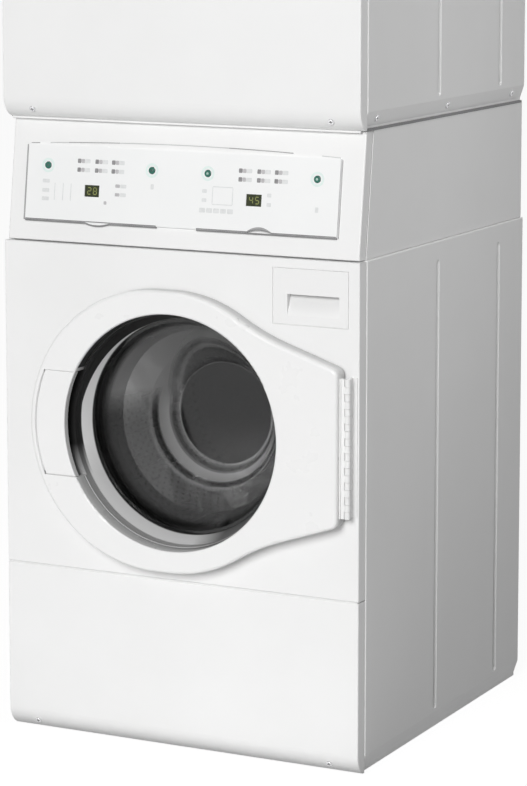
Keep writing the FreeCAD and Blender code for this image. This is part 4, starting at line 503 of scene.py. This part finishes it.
# Painted reflection and light: paler rings below the axis, and paler glass above it, where it lies in
# shade.
low = glass_paleness(tree, reach, LOW_RINGS)
slope = glass_paleness(tree, reach, SLOPE)
high = sums(tree, "MAXIMUM", glass_paleness(tree, tall, HIGH_RINGS), slope)
high = chosen(tree, step(tree, reach, FLANK * MM, EDGE * MM), high, slope)
paleness = chosen(tree, step(tree, up, 0.0, 0.045), low, high)
tree.links.new(greys(tree, paleness, [(0.0, 0.08), (1.0, 0.55)]), bsdf.inputs["Base Color"])
tree.links.new(between(tree, paleness, 1.0, 0.6), bsdf.inputs["Transmission Weight"])
gloss(tree, bsdf, noise(tree, place, 30.0), 0.03, 0.08)
relief(tree, bsdf, noise(tree, place, 9.0, 1.0), 0.15, 0.004)
print("glass nodes:", len(tree.nodes))

# %% [markdown]
# Both drums are pierced all over: the washer's so that water drains, the dryer's for air. Thousands
# of real holes would make the meshes heavy, and the drums are seen only through the doors. The holes
# sit in staggered rows, so the pattern is worked out in the drum's own way: the arc round its axis
# and the depth along it. A distance from the nearest hole then darkens the steel, dulls it and presses
# a small dimple round each hole.

# %% Pierced drums
ROW = 0.866            # distance between staggered rows, over the distance between holes
SHELL = 0.006          # thickness of a drum's pierced outer part, in metres
HOLE_BLACK = (0.008, 0.008, 0.008, 1)


def pierced(name, axis_z, radius, around, hole, dark, light, rough):
    """Sheet metal drum with staggered holes; around is the number of holes in one ring."""
    tree, bsdf, place = shader(name)
    reach, x, y, up = from_axis(tree, place, axis_z)
    pitch = 2 * math.pi * radius / around
    column = sums(tree, "MULTIPLY", sums(tree, "ARCTAN2", up, x), around / (2 * math.pi))
    row = sums(tree, "DIVIDE", y, pitch * ROW)
    odd = sums(tree, "FLOORED_MODULO", sums(tree, "FLOOR", row), 2.0)
    shifted = sums(tree, "ADD", column, sums(tree, "MULTIPLY", odd, 0.5))
    a = sums(tree, "SUBTRACT", sums(tree, "FRACT", shifted), 0.5)
    b = sums(tree, "MULTIPLY", sums(tree, "SUBTRACT", sums(tree, "FRACT", row), 0.5), ROW)
    apart = sums(tree, "MULTIPLY", length(tree, a, b), pitch / hole)
    inside = sums(tree, "SUBTRACT", 1.0, sums(tree, "GREATER_THAN", reach, radius - SHELL))
    sheet_here = step(tree, sums(tree, "MAXIMUM", inside, apart), 0.42, 0.58)
    metal = ramp(tree, noise(tree, place, 5.0), [(0.35, dark), (0.65, light)])
    tree.links.new(chosen(tree, sheet_here, HOLE_BLACK, metal), bsdf.inputs["Base Color"])
    gloss(tree, bsdf, noise(tree, place, 260, 2.0, (1, 0.05, 1)), *rough)
    relief(tree, bsdf, sheet_here, 0.6, 0.001)
    tree.links.new(sheet_here, bsdf.inputs["Metallic"])


pierced("drum_steel", WASHER_AXIS * MM, 0.236, 90, 0.0048,
        (0.5, 0.5, 0.505), (0.6, 0.6, 0.605), (0.22, 0.36))
pierced("dryer_steel", DRYER_AXIS * MM, 0.285, 72, 0.006,
        (0.46, 0.47, 0.48), (0.58, 0.59, 0.6), (0.34, 0.48))
print("finishes with the drums:", len(finishes))

# %% [markdown]
# The solids could be dressed one by one, with a line for each. Here each takes the finish that its
# record names, so a change in the record shows by itself. The two drums, the door's rim and the
# door's ring take the finishes that were made for them.

# %% Finishes onto the solids
slots = {part["node"]: part["material_slot"] for part in frame["record"]["subparts"]}
special = {"washer_drum": "drum_steel", "dryer_drum": "dryer_steel", "door_trim": "bezel_painted_light",
           "door_ring": "ring_white_painted_shade"}
for name, solid in frame["nodes"].items():
    for holder in solid.material_slots:
        holder.material = finishes[special.get(name, slots[name])]
print("dressed:", len(frame["nodes"]), "solids")

# %% [markdown]
# New pieces are meshes made from lists of points. Curves and modifiers could make them too, but a list
# of points says where each corner is, in the machine's own millimetres. Most pieces are a skin over a
# row of equal loops, so one helper lays that skin and another turns points and faces into an object.

# %% Helpers for new pieces
SHARP = 40      # degrees: an edge that turns more stays sharp


def piece(name, points, faces, material, body, smooth=True):
    """A mesh from points in metres, which rides on a body if one is named."""
    mesh = bpy.data.meshes.new(name)
    mesh.from_pydata([tuple(p) for p in points], [], faces)
    mesh.validate()
    skin = bmesh.new()
    skin.from_mesh(mesh)
    bmesh.ops.recalc_face_normals(skin, faces=skin.faces)
    skin.to_mesh(mesh)
    skin.free()
    mesh.materials.append(finishes[material])
    made = bpy.data.objects.new(name, mesh)
    bpy.context.scene.collection.objects.link(made)
    if smooth:
        mesh.shade_smooth()
        mesh.set_sharp_from_angle(angle=math.radians(SHARP))
    if body:
        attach(made, body)
    return made


def joined(loops, ring=False):
    """Points and faces of a skin over equal loops, with end faces unless the loops make a ring."""
    count = len(loops[0])
    points = [p for loop in loops for p in loop]
    faces = []
    for k in range(len(loops) if ring else len(loops) - 1):
        here, there = k * count, (k + 1) % len(loops) * count
        for j in range(count):
            nxt = (j + 1) % count
            faces.append((here + j, there + j, there + nxt, here + nxt))
    if not ring:
        faces += [tuple(range(count)), tuple(range(len(points) - count, len(points)))]
    return points, faces


print("faces of a square bar:", len(joined([[0] * 4, [0] * 4])[1]))

# %% [markdown]
# The door seal is a bellows of grey rubber between the front panel and the tub, with a black rim where
# the tub begins. It is hidden while the door is shut. It replaces the plain solid with a profile turned
# about the drum's axis: a soft fold half way and a bead at each end, each one a bell curve.

# %% Door seal
SEAL_FRONT, SEAL_BACK, SEAL_R, SEAL_WALL = 1.4, 103.8, 208.3, 2.3
FOLD_AT, FOLD_HALF, FOLD_HIGH = 52.6, 7.5, 8.6
BEAD_HALF, BEAD_HIGH = 1.6, 6
SEAL_STEPS = 48


def arc(profile, x, axis_z, start, end, steps):
    """Loops of a closed profile, in depth and radius, at steps of an angle about an axis along Y."""
    loops = []
    for k in range(steps):
        angle = math.radians(start + (end - start) * k / steps)
        c, s = math.cos(angle), math.sin(angle)
        loops.append([at(x + r * c, depth, axis_z + r * s) for depth, r in profile])
    return loops


def bell(place, middle, half, high):
    """A smooth hump."""
    return math.exp(-((place - middle) / half) ** 2) * high


inner = []
for k in range(SEAL_STEPS + 1):
    depth = SEAL_FRONT + (SEAL_BACK - SEAL_FRONT) * k / SEAL_STEPS
    fold = bell(depth, FOLD_AT, FOLD_HALF, FOLD_HIGH)
    ends = sum(bell(depth, end, BEAD_HALF, BEAD_HIGH) for end in (SEAL_FRONT, SEAL_BACK))
    inner.append((depth, SEAL_R + fold + ends))
outer = [(depth, radius + SEAL_WALL) for depth, radius in reversed(inner)]
points, faces = joined(arc(inner + outer, 0, WASHER_AXIS, 0, 360, 128), ring=True)
seal = piece("door_seal", points, faces, "seal_rubber", "cabinet")
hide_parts("door_gasket")
print("seal points:", len(points))

# %% [markdown]
# Some seams look nearly white because the folded edge behind them lies just under the surface. White
# strips stand for those edges: between the front panels, under the dryer's toe and round the drawer.
# Brightening the picture would lift every gap at once, while a strip lifts only its own.

# %% Strips in the seams of the cabinet
LOW_SEAM = 300.0                   # height of the seam between the washer's front panels
SEAM_SHAPE = ((1.1, -0.9), (0.9, 0), (1.1, 0.9), (6, 0.9), (6, -0.9))
TOE_SHAPE = ((24.5, -0.3), (24.5, -4), (27, -5), (33, -5), (33, -0.3))
DRAWER_GAP = (250.5, 806)          # middle of the drawer's opening
GAP_FRONT, GAP_BACK = 1.3, 6


def strip(shape, height, stations):
    """A bar across the machine; its shape is in depth and height."""
    return joined([[at(x, depth, height + z) for depth, z in shape] for x in stations])


def rounded(u, v, width, height, corner, steps=4):
    """Outline of a rounded rectangle about its middle."""
    outline = []
    corner = min(corner, width / 2, height / 2)
    for cu, cv, start in ((1, 1, 0), (-1, 1, 90), (-1, -1, 180), (1, -1, 270)):
        for k in range(steps + 1):
            angle = math.radians(start + 90 * k / steps)
            outline.append((u + cu * (width / 2 - corner) + corner * math.cos(angle),
                            v + cv * (height / 2 - corner) + corner * math.sin(angle)))
    return outline


points, faces = strip(SEAM_SHAPE, LOW_SEAM, (-337, -200, 0, 200, 337))
piece("low_seam_strip", points, faces, "white_enamel", "cabinet")
points, faces = strip(TOE_SHAPE, DRYER_FOOT, (-336, -200, 0, 200, 329))
piece("toe_strip", points, faces, "white_enamel", "cabinet")

loops = []
for (x0, z0), (x1, z1) in zip(rounded(*DRAWER_GAP, 139.8, 95.8, 0.5),
                              rounded(*DRAWER_GAP, 138.3, 94.3, 0.5)):
    loops.append([at(x0, GAP_FRONT, z0), at(x1, GAP_FRONT, z1),
                  at(x1, GAP_BACK, z1), at(x0, GAP_BACK, z0)])
points, faces = joined(loops, ring=True)
piece("drawer_gap_strip", points, faces, "white_enamel", "cabinet", smooth=False)
print("strips in the cabinet: 3, the last with", len(faces), "faces")

# %% [markdown]
# The grip of the door has the same kind of seam, so it gets three strips that ride with the door: one
# along the curved rim and one above and below. Along the machine's sides a dark strip lies in the joint
# between the console and the dryer, painted shade under the dryer's overhang. It has a small step, which
# shows as a thin line under the dryer.

# %% Strips round the grip and painted shade under the dryer
GRIP_RIM = [(-33.0, 230.7), (-32.6, 231.3), (-27, 231.3), (-27, 230.5), (-32.6, 230.4)]
GRIP_END = ((-33.0, 91.7), (-32.6, 91.95), (-27, 91.95), (-27, 91.45), (-32.6, 91.45))
STACK_SHADE = [(333.7, 2.4), (338.7, 2.4), (338.7, -1.8), (337.8, -1.8), (337.8, 0.2), (333.7, 0.2)]

points, faces = joined(arc(GRIP_RIM, -30, WASHER_AXIS, 157.2, 202.8, 40))
piece("grip_rim_strip", points, faces, "door_white", "door")
for name, sign in (("grip_top_strip", 1), ("grip_low_strip", -1)):
    shape = [(depth, sign * z) for depth, z in GRIP_END]
    points, faces = strip(shape, WASHER_AXIS, (-241.5, -220, -200, -183))
    piece(name, points, faces, "door_white", "door")

# Painted shade: dark strips in the joint under the dryer's overhang.
for name, sign in (("stack_gasket_left", -1), ("stack_gasket_right", 1)):
    loops = [[at(sign * x, d, DRYER_FOOT + z) for x, z in STACK_SHADE] for d in (27, 200, 450, 699)]
    points, faces = joined(loops)
    piece(name, points, faces, "grey_plastic", "cabinet")
print("points of one gasket:", len(points))

# %% [markdown]
# The upper part of the ring's inner wall is covered by a thin black sheet, painted shade where the wall
# faces down, which meets the black edge of the rim behind it. It is an arc of a thin profile, and on the
# right its front edge draws back until only a narrow end is left. A dark material on the ring itself
# would end in a hard line there.

# %% Painted shade in the ring
SHADE_SHEET = [(-30, 202.8), (-30, 202.4), (-8.4, 202.4), (-8.4, 202.8)]
DRAWN_BACK, DRAWN_STEPS = 0.020, 14     # metres that the front edge draws back, over so many steps
# Painted shade: a thin black sheet on the upper part of the ring's inner wall.
loops = []
for k, loop in enumerate(arc(SHADE_SHEET, 0, WASHER_AXIS, 30, 153, 60)):
    back = Vector((0, DRAWN_BACK * (1 - min(1.0, k / DRAWN_STEPS)), 0))
    loops.append([p + back for p in loop[:2]] + loop[2:])
points, faces = joined(loops)
piece("ring_shade_sheet", points, faces, "trim_dark", "door")
print("sleeve points:", len(points))

# %% [markdown]
# The control overlay is a printed sheet. Its marks are built as plates a fifth of a millimetre thick,
# so they catch the light like screen print and stay sharp up close, where a picture would blur: six
# programme marks over each display, a few short grey bars, and faint pale lines and blocks.

# %% Print on the overlay
GROUPS = (-159.5, 151.5)            # middles of the washer's and the dryer's controls
WASHER, DRYER = GROUPS
FACE = 4.0                          # overlay's face in front of the fascia
INK = (FACE - 0.05, FACE + 0.15)    # back and front of a printed mark


def ink(name, dark, light):
    """A matt printing colour."""
    finish(name, dark, light, (0.45, 0.55), 1500, 0.00003, drift=150)


def plate(outline, out0, out1, points, faces):
    """Adds a closed plate on the console; its outline goes round once in across and up."""
    first, count = len(points), len(outline)
    for out in (out0, out1):
        points.extend(on_console(u, v, out) for u, v in outline)
    faces.append(tuple(range(first + count - 1, first - 1, -1)))
    faces.append(tuple(range(first + count, first + 2 * count)))
    for k in range(count):
        nxt = (k + 1) % count
        faces.append((first + k, first + nxt, first + count + nxt, first + count + k))


def printed(name, bars, material):
    """Flat rounded bars on the overlay, each given by its middle and its size."""
    points, faces = [], []
    for u, v, width, height in bars:
        plate(rounded(u, v, width, height, 1.4), *INK, points, faces)
    piece(name, points, faces, material, "cabinet", smooth=False)


ink("print_dark", (0.2, 0.195, 0.2), (0.27, 0.265, 0.27))
ink("print_mid", (0.43, 0.42, 0.43), (0.5, 0.49, 0.5))
ink("print_pale", (0.66, 0.67, 0.67), (0.72, 0.73, 0.73))
dark, mid, faint = [], [], []
for group, rows in zip(GROUPS, ((141.5, 126.4), (139.2, 124.6))):
    for start in (-43.8, -9.2, 23.4):
        for v in rows:
            dark.append((group + start + 3.5, v, 7.0, 7.5))
            mid.append((group + start + 10.8, v, 6.4, 7.0))
            faint.append((group + start + 19.6, v, 10.6, 7.0))
for v in (101.8, 87.0):
    mid.append((WASHER + 37, v, 9, 5.6))
    faint.append((WASHER + 48, v, 12, 6.4))
mid.append((WASHER + 14.2, 72.0, 5.6, 5.6))
faint += [(DRYER + 15.3, v, 8, 6.5) for v in (100.6, 84.8)]
faint += [(WASHER - 104.5, v, 14, 6.5) for v in (104.5, 88.4, 74.0)]
faint += [(WASHER + u, 87, 1.8, 30) for u in (-86.5, -70.0, -54.5)]
faint += [(DRYER - 106.5, v, 9, 6) for v in (102.0, 86.8)]
faint += [(DRYER - 109 + 13.2 * k, 69.8, 11, 8) for k in range(5)]
faint += [(DRYER - 72, v, 38, 1.6) for v in (110, 80.5)]
faint += [(DRYER + u, 95.2, 1.6, 28) for u in (-91, -53)]
faint += [(group + 104, v, 6, 9) for group, v in zip(GROUPS, (104.0, 81.0))]
printed("print_dark_marks", dark, "print_dark")
printed("print_grey_bars", mid, "print_mid")
printed("print_pale_blocks", faint, "print_pale")
print("marks:", len(dark), "bars:", len(mid), "pale:", len(faint))

# %% [markdown]
# The overlay's edge throws a soft grey line on the fascia, strongest along the bottom, where a lens
# shaped tab and a lens shaped notch interrupt it. A shadow alone is too weak there in such soft light.
# So the line is painted shadow: a thin grey bead that follows the edge, and a narrow grey line on
# the overlay that arches over the notch, which is filled in grey. The grey lines down its sides are
# painted shade too.

# %% Edge lines of the overlay
for name, dark, light in (("edge_grey", (0.17, 0.17, 0.172), (0.22, 0.22, 0.222)),
                          ("edge_soft", (0.3, 0.3, 0.302), (0.37, 0.37, 0.372)),
                          ("edge_faint", (0.5, 0.5, 0.502), (0.56, 0.56, 0.562))):
    finish(name, dark, light, (0.5, 0.6), 1200, 0.00004, drift=30)
LENS_HALF, LENS_H = 23.0, 4.0                           # half width and height of the tab and the notch
LENS_R = (LENS_HALF ** 2 + LENS_H ** 2) / (2 * LENS_H)
EDGE_V = 37.0                                           # overlay's lower edge, up the slope
SIDE_V, SIDE_H = 101, 130                               # middle and height of its sides


def lens(u, middle):
    """Height of the lens shaped bulge at a place across the overlay."""
    off = u - middle
    return max(0.0, math.sqrt(max(LENS_R ** 2 - off ** 2, 0.0)) - (LENS_R - LENS_H))


def band(u0, u1, low, high, out0, out1, points, faces):
    """Adds a strip between two curves, closed all round."""
    steps = max(2, int((u1 - u0) / 2))
    us = [u0 + (u1 - u0) * k / steps for k in range(steps + 1)]
    outline = [(u, low(u)) for u in us] + [(u, high(u)) for u in reversed(us)]
    first, count = len(points), len(outline)
    other = first + count
    for out in (out0, out1):
        points.extend(on_console(u, v, out) for u, v in outline)
    for k in range(steps):
        far, near = count - 1 - k, count - 2 - k
        faces.append((first + k, first + far, first + near, first + k + 1))
        faces.append((other + k, other + k + 1, other + near, other + far))
    for k in range(count):
        nxt = (k + 1) % count
        faces.append((first + k, first + nxt, other + nxt, other + k))


def edging(name, points, faces, material):
    """A piece of grey edging on the overlay."""
    piece(name, points, faces, material, "cabinet", smooth=False)


# Painted shadow: a grey bead under the overlay's lower edge, and a grey line over the notch.
points, faces = [], []
for u0, u1 in ((-302.0, -44.0), (33.0, 294.0)):
    band(u0, u1, lambda u: EDGE_V - 2.6 - lens(u, WASHER), lambda u: EDGE_V - 0.1 - lens(u, WASHER),
         0.0, 3.9, points, faces)
    band(u0, u1, lambda u: EDGE_V + 0.2 + lens(u, DRYER), lambda u: EDGE_V + 2.0 + lens(u, DRYER),
         *INK, points, faces)
edging("overlay_lower_shadow", points, faces, "edge_grey")
# Painted shade: grey lines down the overlay's left and right edges.
for name, u, width, corner, out, material in (("overlay_left_line", -304.2, 3.0, 1.2, 3.6, "edge_soft"),
                                              ("overlay_right_line", 295.8, 2.2, 1.0, 2.6, "edge_faint")):
    points, faces = [], []
    plate(rounded(u, SIDE_V, width, SIDE_H, corner), 0.0, out, points, faces)
    edging(name, points, faces, material)
# Painted shadow: the grey that fills the notch under its arching line.
points, faces = [], []
band(DRYER - 22, DRYER + 22, lambda u: EDGE_V + 0.3 + lens(u, DRYER),
     lambda u: EDGE_V + 1.9 + 2 * lens(u, DRYER), FACE - 0.05, FACE + 0.1, points, faces)
edging("overlay_notch_shadow", points, faces, "edge_soft")
print("edge lines: 4, the last with", len(faces), "faces")

# %% [markdown]
# Above the overlay a shallow arched bead crosses the fascia. It comes and goes in the photograph, so it
# is laid in a few lengths of two greys. A parabola is close enough to so flat an arc.

# %% Arched bead
ARCH_FOOT, ARCH_H, ARCH_MIDDLE, ARCH_HALF = 168.5, 8.0, -4, 298
BEAD = 0.8      # half the bead's width


def arch(u):
    """Height of the arched bead over the overlay."""
    return ARCH_FOOT + ARCH_H * (1 - ((u - ARCH_MIDDLE) / ARCH_HALF) ** 2)


for name, material, lengths in (("arch_strong", "edge_soft", ((-300, -283), (-225, -125), (85, 205))),
                                ("arch_faint", "edge_faint", ((-262, -225), (-125, 85), (258, 292)))):
    points, faces = [], []
    for u0, u1 in lengths:
        band(u0, u1, lambda u: arch(u) - BEAD, lambda u: arch(u) + BEAD, -0.05, 0.5, points, faces)
    edging(name, points, faces, material)
print("top of the arch:", arch(ARCH_MIDDLE))

# %% [markdown]
# Each display is a dark window with two digits of seven bars. A text object would bring in a typeface,
# while the bars are plain plates just in front of the window's face, and only the lit ones are built.
# The numbers are minutes, and stand for nothing in particular.

# %% Display digits
finish("digit_lit", (0.2, 0.22, 0.06), (0.27, 0.29, 0.09), (0.3, 0.4), 900, 0.00003, drift=90)
BARS = {"top": (0, 5.6, 5.2, 1.5), "middle": (0, 0, 5.2, 1.5), "bottom": (0, -5.6, 5.2, 1.5),
        "upper_left": (-3.1, 2.8, 1.5, 4.6), "upper_right": (3.1, 2.8, 1.5, 4.6),
        "lower_left": (-3.1, -2.8, 1.5, 4.6), "lower_right": (3.1, -2.8, 1.5, 4.6)}
DIGITS = {2: "top upper_right middle lower_left bottom", 8: " ".join(BARS),
          4: "upper_left upper_right middle lower_right",
          5: "top upper_left middle lower_right bottom"}
WINDOW_U, WINDOW_V = -13, 91        # middle of a window, from its group's middle and up the slope
LIT = (2.98, 3.12)                  # back and front of a lit bar
for group, side, number in zip(GROUPS, ("washer", "dryer"), (28, 45)):
    points, faces = [], []
    for shift, digit in zip((-5.6, 5.6), (number // 10, number % 10)):
        for bar in DIGITS[digit].split():
            u, v, width, height = BARS[bar]
            outline = rounded(group + WINDOW_U + shift + u, WINDOW_V + v, width, height, 0.7, 3)
            plate(outline, *LIT, points, faces)
    piece(side + "_digits", points, faces, "digit_lit", "cabinet", smooth=False)
    print(side, "shows", number)

# %% [markdown]
# A pale green ring is printed on the overlay round each button. A ramp in the overlay's finish could draw
# it, but plates keep all the print in one manner. So it is a ring a tenth of a millimetre thick, swept
# round the button's middle, and the four rings are gathered in one mesh.

# %% Rings round the buttons
BUTTON_U, BUTTON_V = 102, 131.5     # buttons from their group's middle, and up the slope
RING = ((8.6, -0.04), (12.5, -0.04), (12.5, 0.06), (8.6, 0.06))    # radius, and height over the overlay
buttons = [group + side for group in GROUPS for side in (-BUTTON_U, BUTTON_U)]


def gathered(skins):
    """Points and faces of several skins in one mesh."""
    points, faces = [], []
    for more, sides in skins:
        faces += [tuple(len(points) + j for j in face) for face in sides]
        points += more
    return points, faces


def round_ring(u, v, around=48):
    """A flat printed ring about a point of the overlay."""
    loops = []
    for k in range(around):
        c, s = math.cos(2 * math.pi * k / around), math.sin(2 * math.pi * k / around)
        loops.append([on_console(u + r * c, v + r * s, FACE + lift) for r, lift in RING])
    return joined(loops, ring=True)


ink("print_teal", (0.7, 0.8, 0.77), (0.74, 0.84, 0.81))
points, faces = gathered([round_ring(u, BUTTON_V) for u in buttons])
piece("button_halos", points, faces, "print_teal", "cabinet", smooth=False)
print("rings:", len(buttons))

# %% [markdown]
# The round buttons carry a small moulded eye. On the dryer's pair it is pale, and on the washer's pair
# it is darker. A sphere sunk into the button would do, but most of it would never show, so the eye is a
# shallow dome. It rides with its button.

# %% Button eyes
finish("eye_pale", (0.34, 0.5, 0.44), (0.4, 0.56, 0.5), (0.25, 0.35), 1500, 0.00002, drift=200)
finish("eye_deep", (0.02, 0.07, 0.055), (0.03, 0.09, 0.07), (0.25, 0.35), 1500, 0.00002, drift=200)
EYE_FOOT, EYE_H = FACE + 1.75, 0.35
EYES = (("eye_deep", 2.4), ("eye_deep", 2.4), ("eye_pale", 2.2), ("eye_pale", 2.2))


def dome(u, v, radius, base, height, rings=5, around=32):
    """A shallow closed dome on the console."""
    points, faces = [], []
    for r in range(rings):
        turn = math.pi / 2 * r / rings
        reach, out = radius * math.cos(turn), base + height * math.sin(turn)
        for k in range(around):
            angle = 2 * math.pi * k / around
            points.append(on_console(u + reach * math.cos(angle), v + reach * math.sin(angle), out))
    points.append(on_console(u, v, base + height))
    for r in range(rings - 1):
        low, high = r * around, (r + 1) * around
        for k in range(around):
            nxt = (k + 1) % around
            faces.append((low + k, low + nxt, high + nxt, high + k))
    top = (rings - 1) * around
    for k in range(around):
        faces.append((top + k, top + (k + 1) % around, len(points) - 1))
    faces.append(tuple(range(around - 1, -1, -1)))
    return points, faces


for k, (u, (material, size)) in enumerate(zip(buttons, EYES), start=1):
    points, faces = dome(u, BUTTON_V, size, EYE_FOOT, EYE_H)
    piece("button_eye_%d" % k, points, faces, material, "button_%d" % k)
print("eyes:", len(EYES))

# %% [markdown]
# The screws that hold the panels have a cross recess. Cutting it into each head would change the frame,
# so each cross is a thin dark inlay on top of its head, painted shade of the hollow, turned to face the
# way the screw does: out of the rolled toes, out of the dryer's sloping foot and out of the back.

# %% Screw recesses
finish("recess_painted_shade", (0.06, 0.06, 0.062), (0.1, 0.1, 0.102), (0.4, 0.5), 900, 0.00005,
       drift=200, metal=0.8)
HEAD = 2.0                                  # height of a screw head
WASHER_FOOT, WASHER_TOP, DRYER_TOP = 3.0, 870, 1960    # ends of the rear panels, with DRYER_FOOT
TOE_H, TOE_R = 35, 38.84                    # height of the rolled toe and the radius of its roll
TOE_TURN = math.asin(TOE_H / TOE_R) / 2     # half way round the roll
TOE_X, BAND_X, REAR_X = 284.5, 337.5, 331.5     # screws from the middle: toes, sloping foot, back
REAR_DEPTH = 705
BAND_UP, BAND_WAY = 18, (24, -8)            # screws of the sloping foot: height and direction
ROWS = 4                                    # screws up each edge of a rear panel
c, s = math.cos(TOE_TURN), math.sin(TOE_TURN)
heads = []
for foot in (WASHER_FOOT, DRYER_FOOT):
    for x in (-TOE_X, TOE_X):
        heads.append((at(x, TOE_R * (1 - c), foot + TOE_H - TOE_R * s), Vector((0, -c, -s))))
for sign in (-1, 1):
    way = Vector((sign * BAND_WAY[0], 0, BAND_WAY[1]))
    heads += [(at(sign * BAND_X, depth, DRYER_FOOT + BAND_UP), way) for depth in (68, 359.5, 651)]
    for low, high in ((WASHER_FOOT, WASHER_TOP), (DRYER_FOOT, DRYER_TOP)):
        for k in range(ROWS):
            z = low + (k + 0.5) * (high - low) / ROWS
            heads.append((at(sign * REAR_X, REAR_DEPTH, z), Vector((0, 1, 0))))

ARM, HALF = 3.2, 0.65                       # length and half width of the cross's arms
quarter = [(ARM, HALF), (HALF, HALF), (HALF, ARM)]
corners = []
for _ in range(4):
    corners += quarter
    quarter = [(-v, u) for u, v in quarter]
skins = []
# Painted shade: each dark cross stands for the hollow of a screw head's recess.
for spot, way in heads:
    turn = way.to_track_quat("Z", "Y")
    skins.append(joined([[spot + turn @ Vector((u, v, HEAD + lift)) * MM for u, v in corners]
                         for lift in (-0.1, 0.06)]))
points, faces = gathered(skins)
piece("screw_recesses", points, faces, "recess_painted_shade", "cabinet", smooth=False)
print("screws:", len(heads))

# %% [markdown]
# The tub hangs from two coil springs. Each coil is a round wire swept along a helix, and it takes the
# place of the plain sleeve in the frame. The coil rides on no body and stays where it is built; a stiff
# coil on one body would tear away at its other end when the tub moves.

# %% Hanging springs
WIRE, COIL_R, TURNS = 1.85, 12.0, 15
SPRING_LOW, SPRING_TOP, SPRING_DEPTH = 622.0, 836.0, 312.0
TURN_STEPS, WIRE_SIDES = 20, 8
CLEAR = 0.1                                 # the wire stays this far inside the sleeve's ends
COIL_TOP, COIL_LOW = SPRING_TOP - WIRE - CLEAR, SPRING_LOW + WIRE + CLEAR
for name, x in (("left_spring", -300.0), ("right_spring", 300.0)):
    loops = []
    for k in range(TURNS * TURN_STEPS + 1):
        angle = 2 * math.pi * k / TURN_STEPS
        z = COIL_TOP - (COIL_TOP - COIL_LOW) * k / (TURNS * TURN_STEPS)
        loop = []
        for j in range(WIRE_SIDES):
            swing = 2 * math.pi * j / WIRE_SIDES
            r = COIL_R + WIRE * math.cos(swing)
            loop.append(at(x + r * math.cos(angle), SPRING_DEPTH + r * math.sin(angle),
                           z + WIRE * math.sin(swing)))
        loops.append(loop)
    points, faces = joined(loops)
    coil = piece(name, points, faces, "steel", None)
    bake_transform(coil)
    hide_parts("suspension_springs")
print("spring coils:", TURNS)
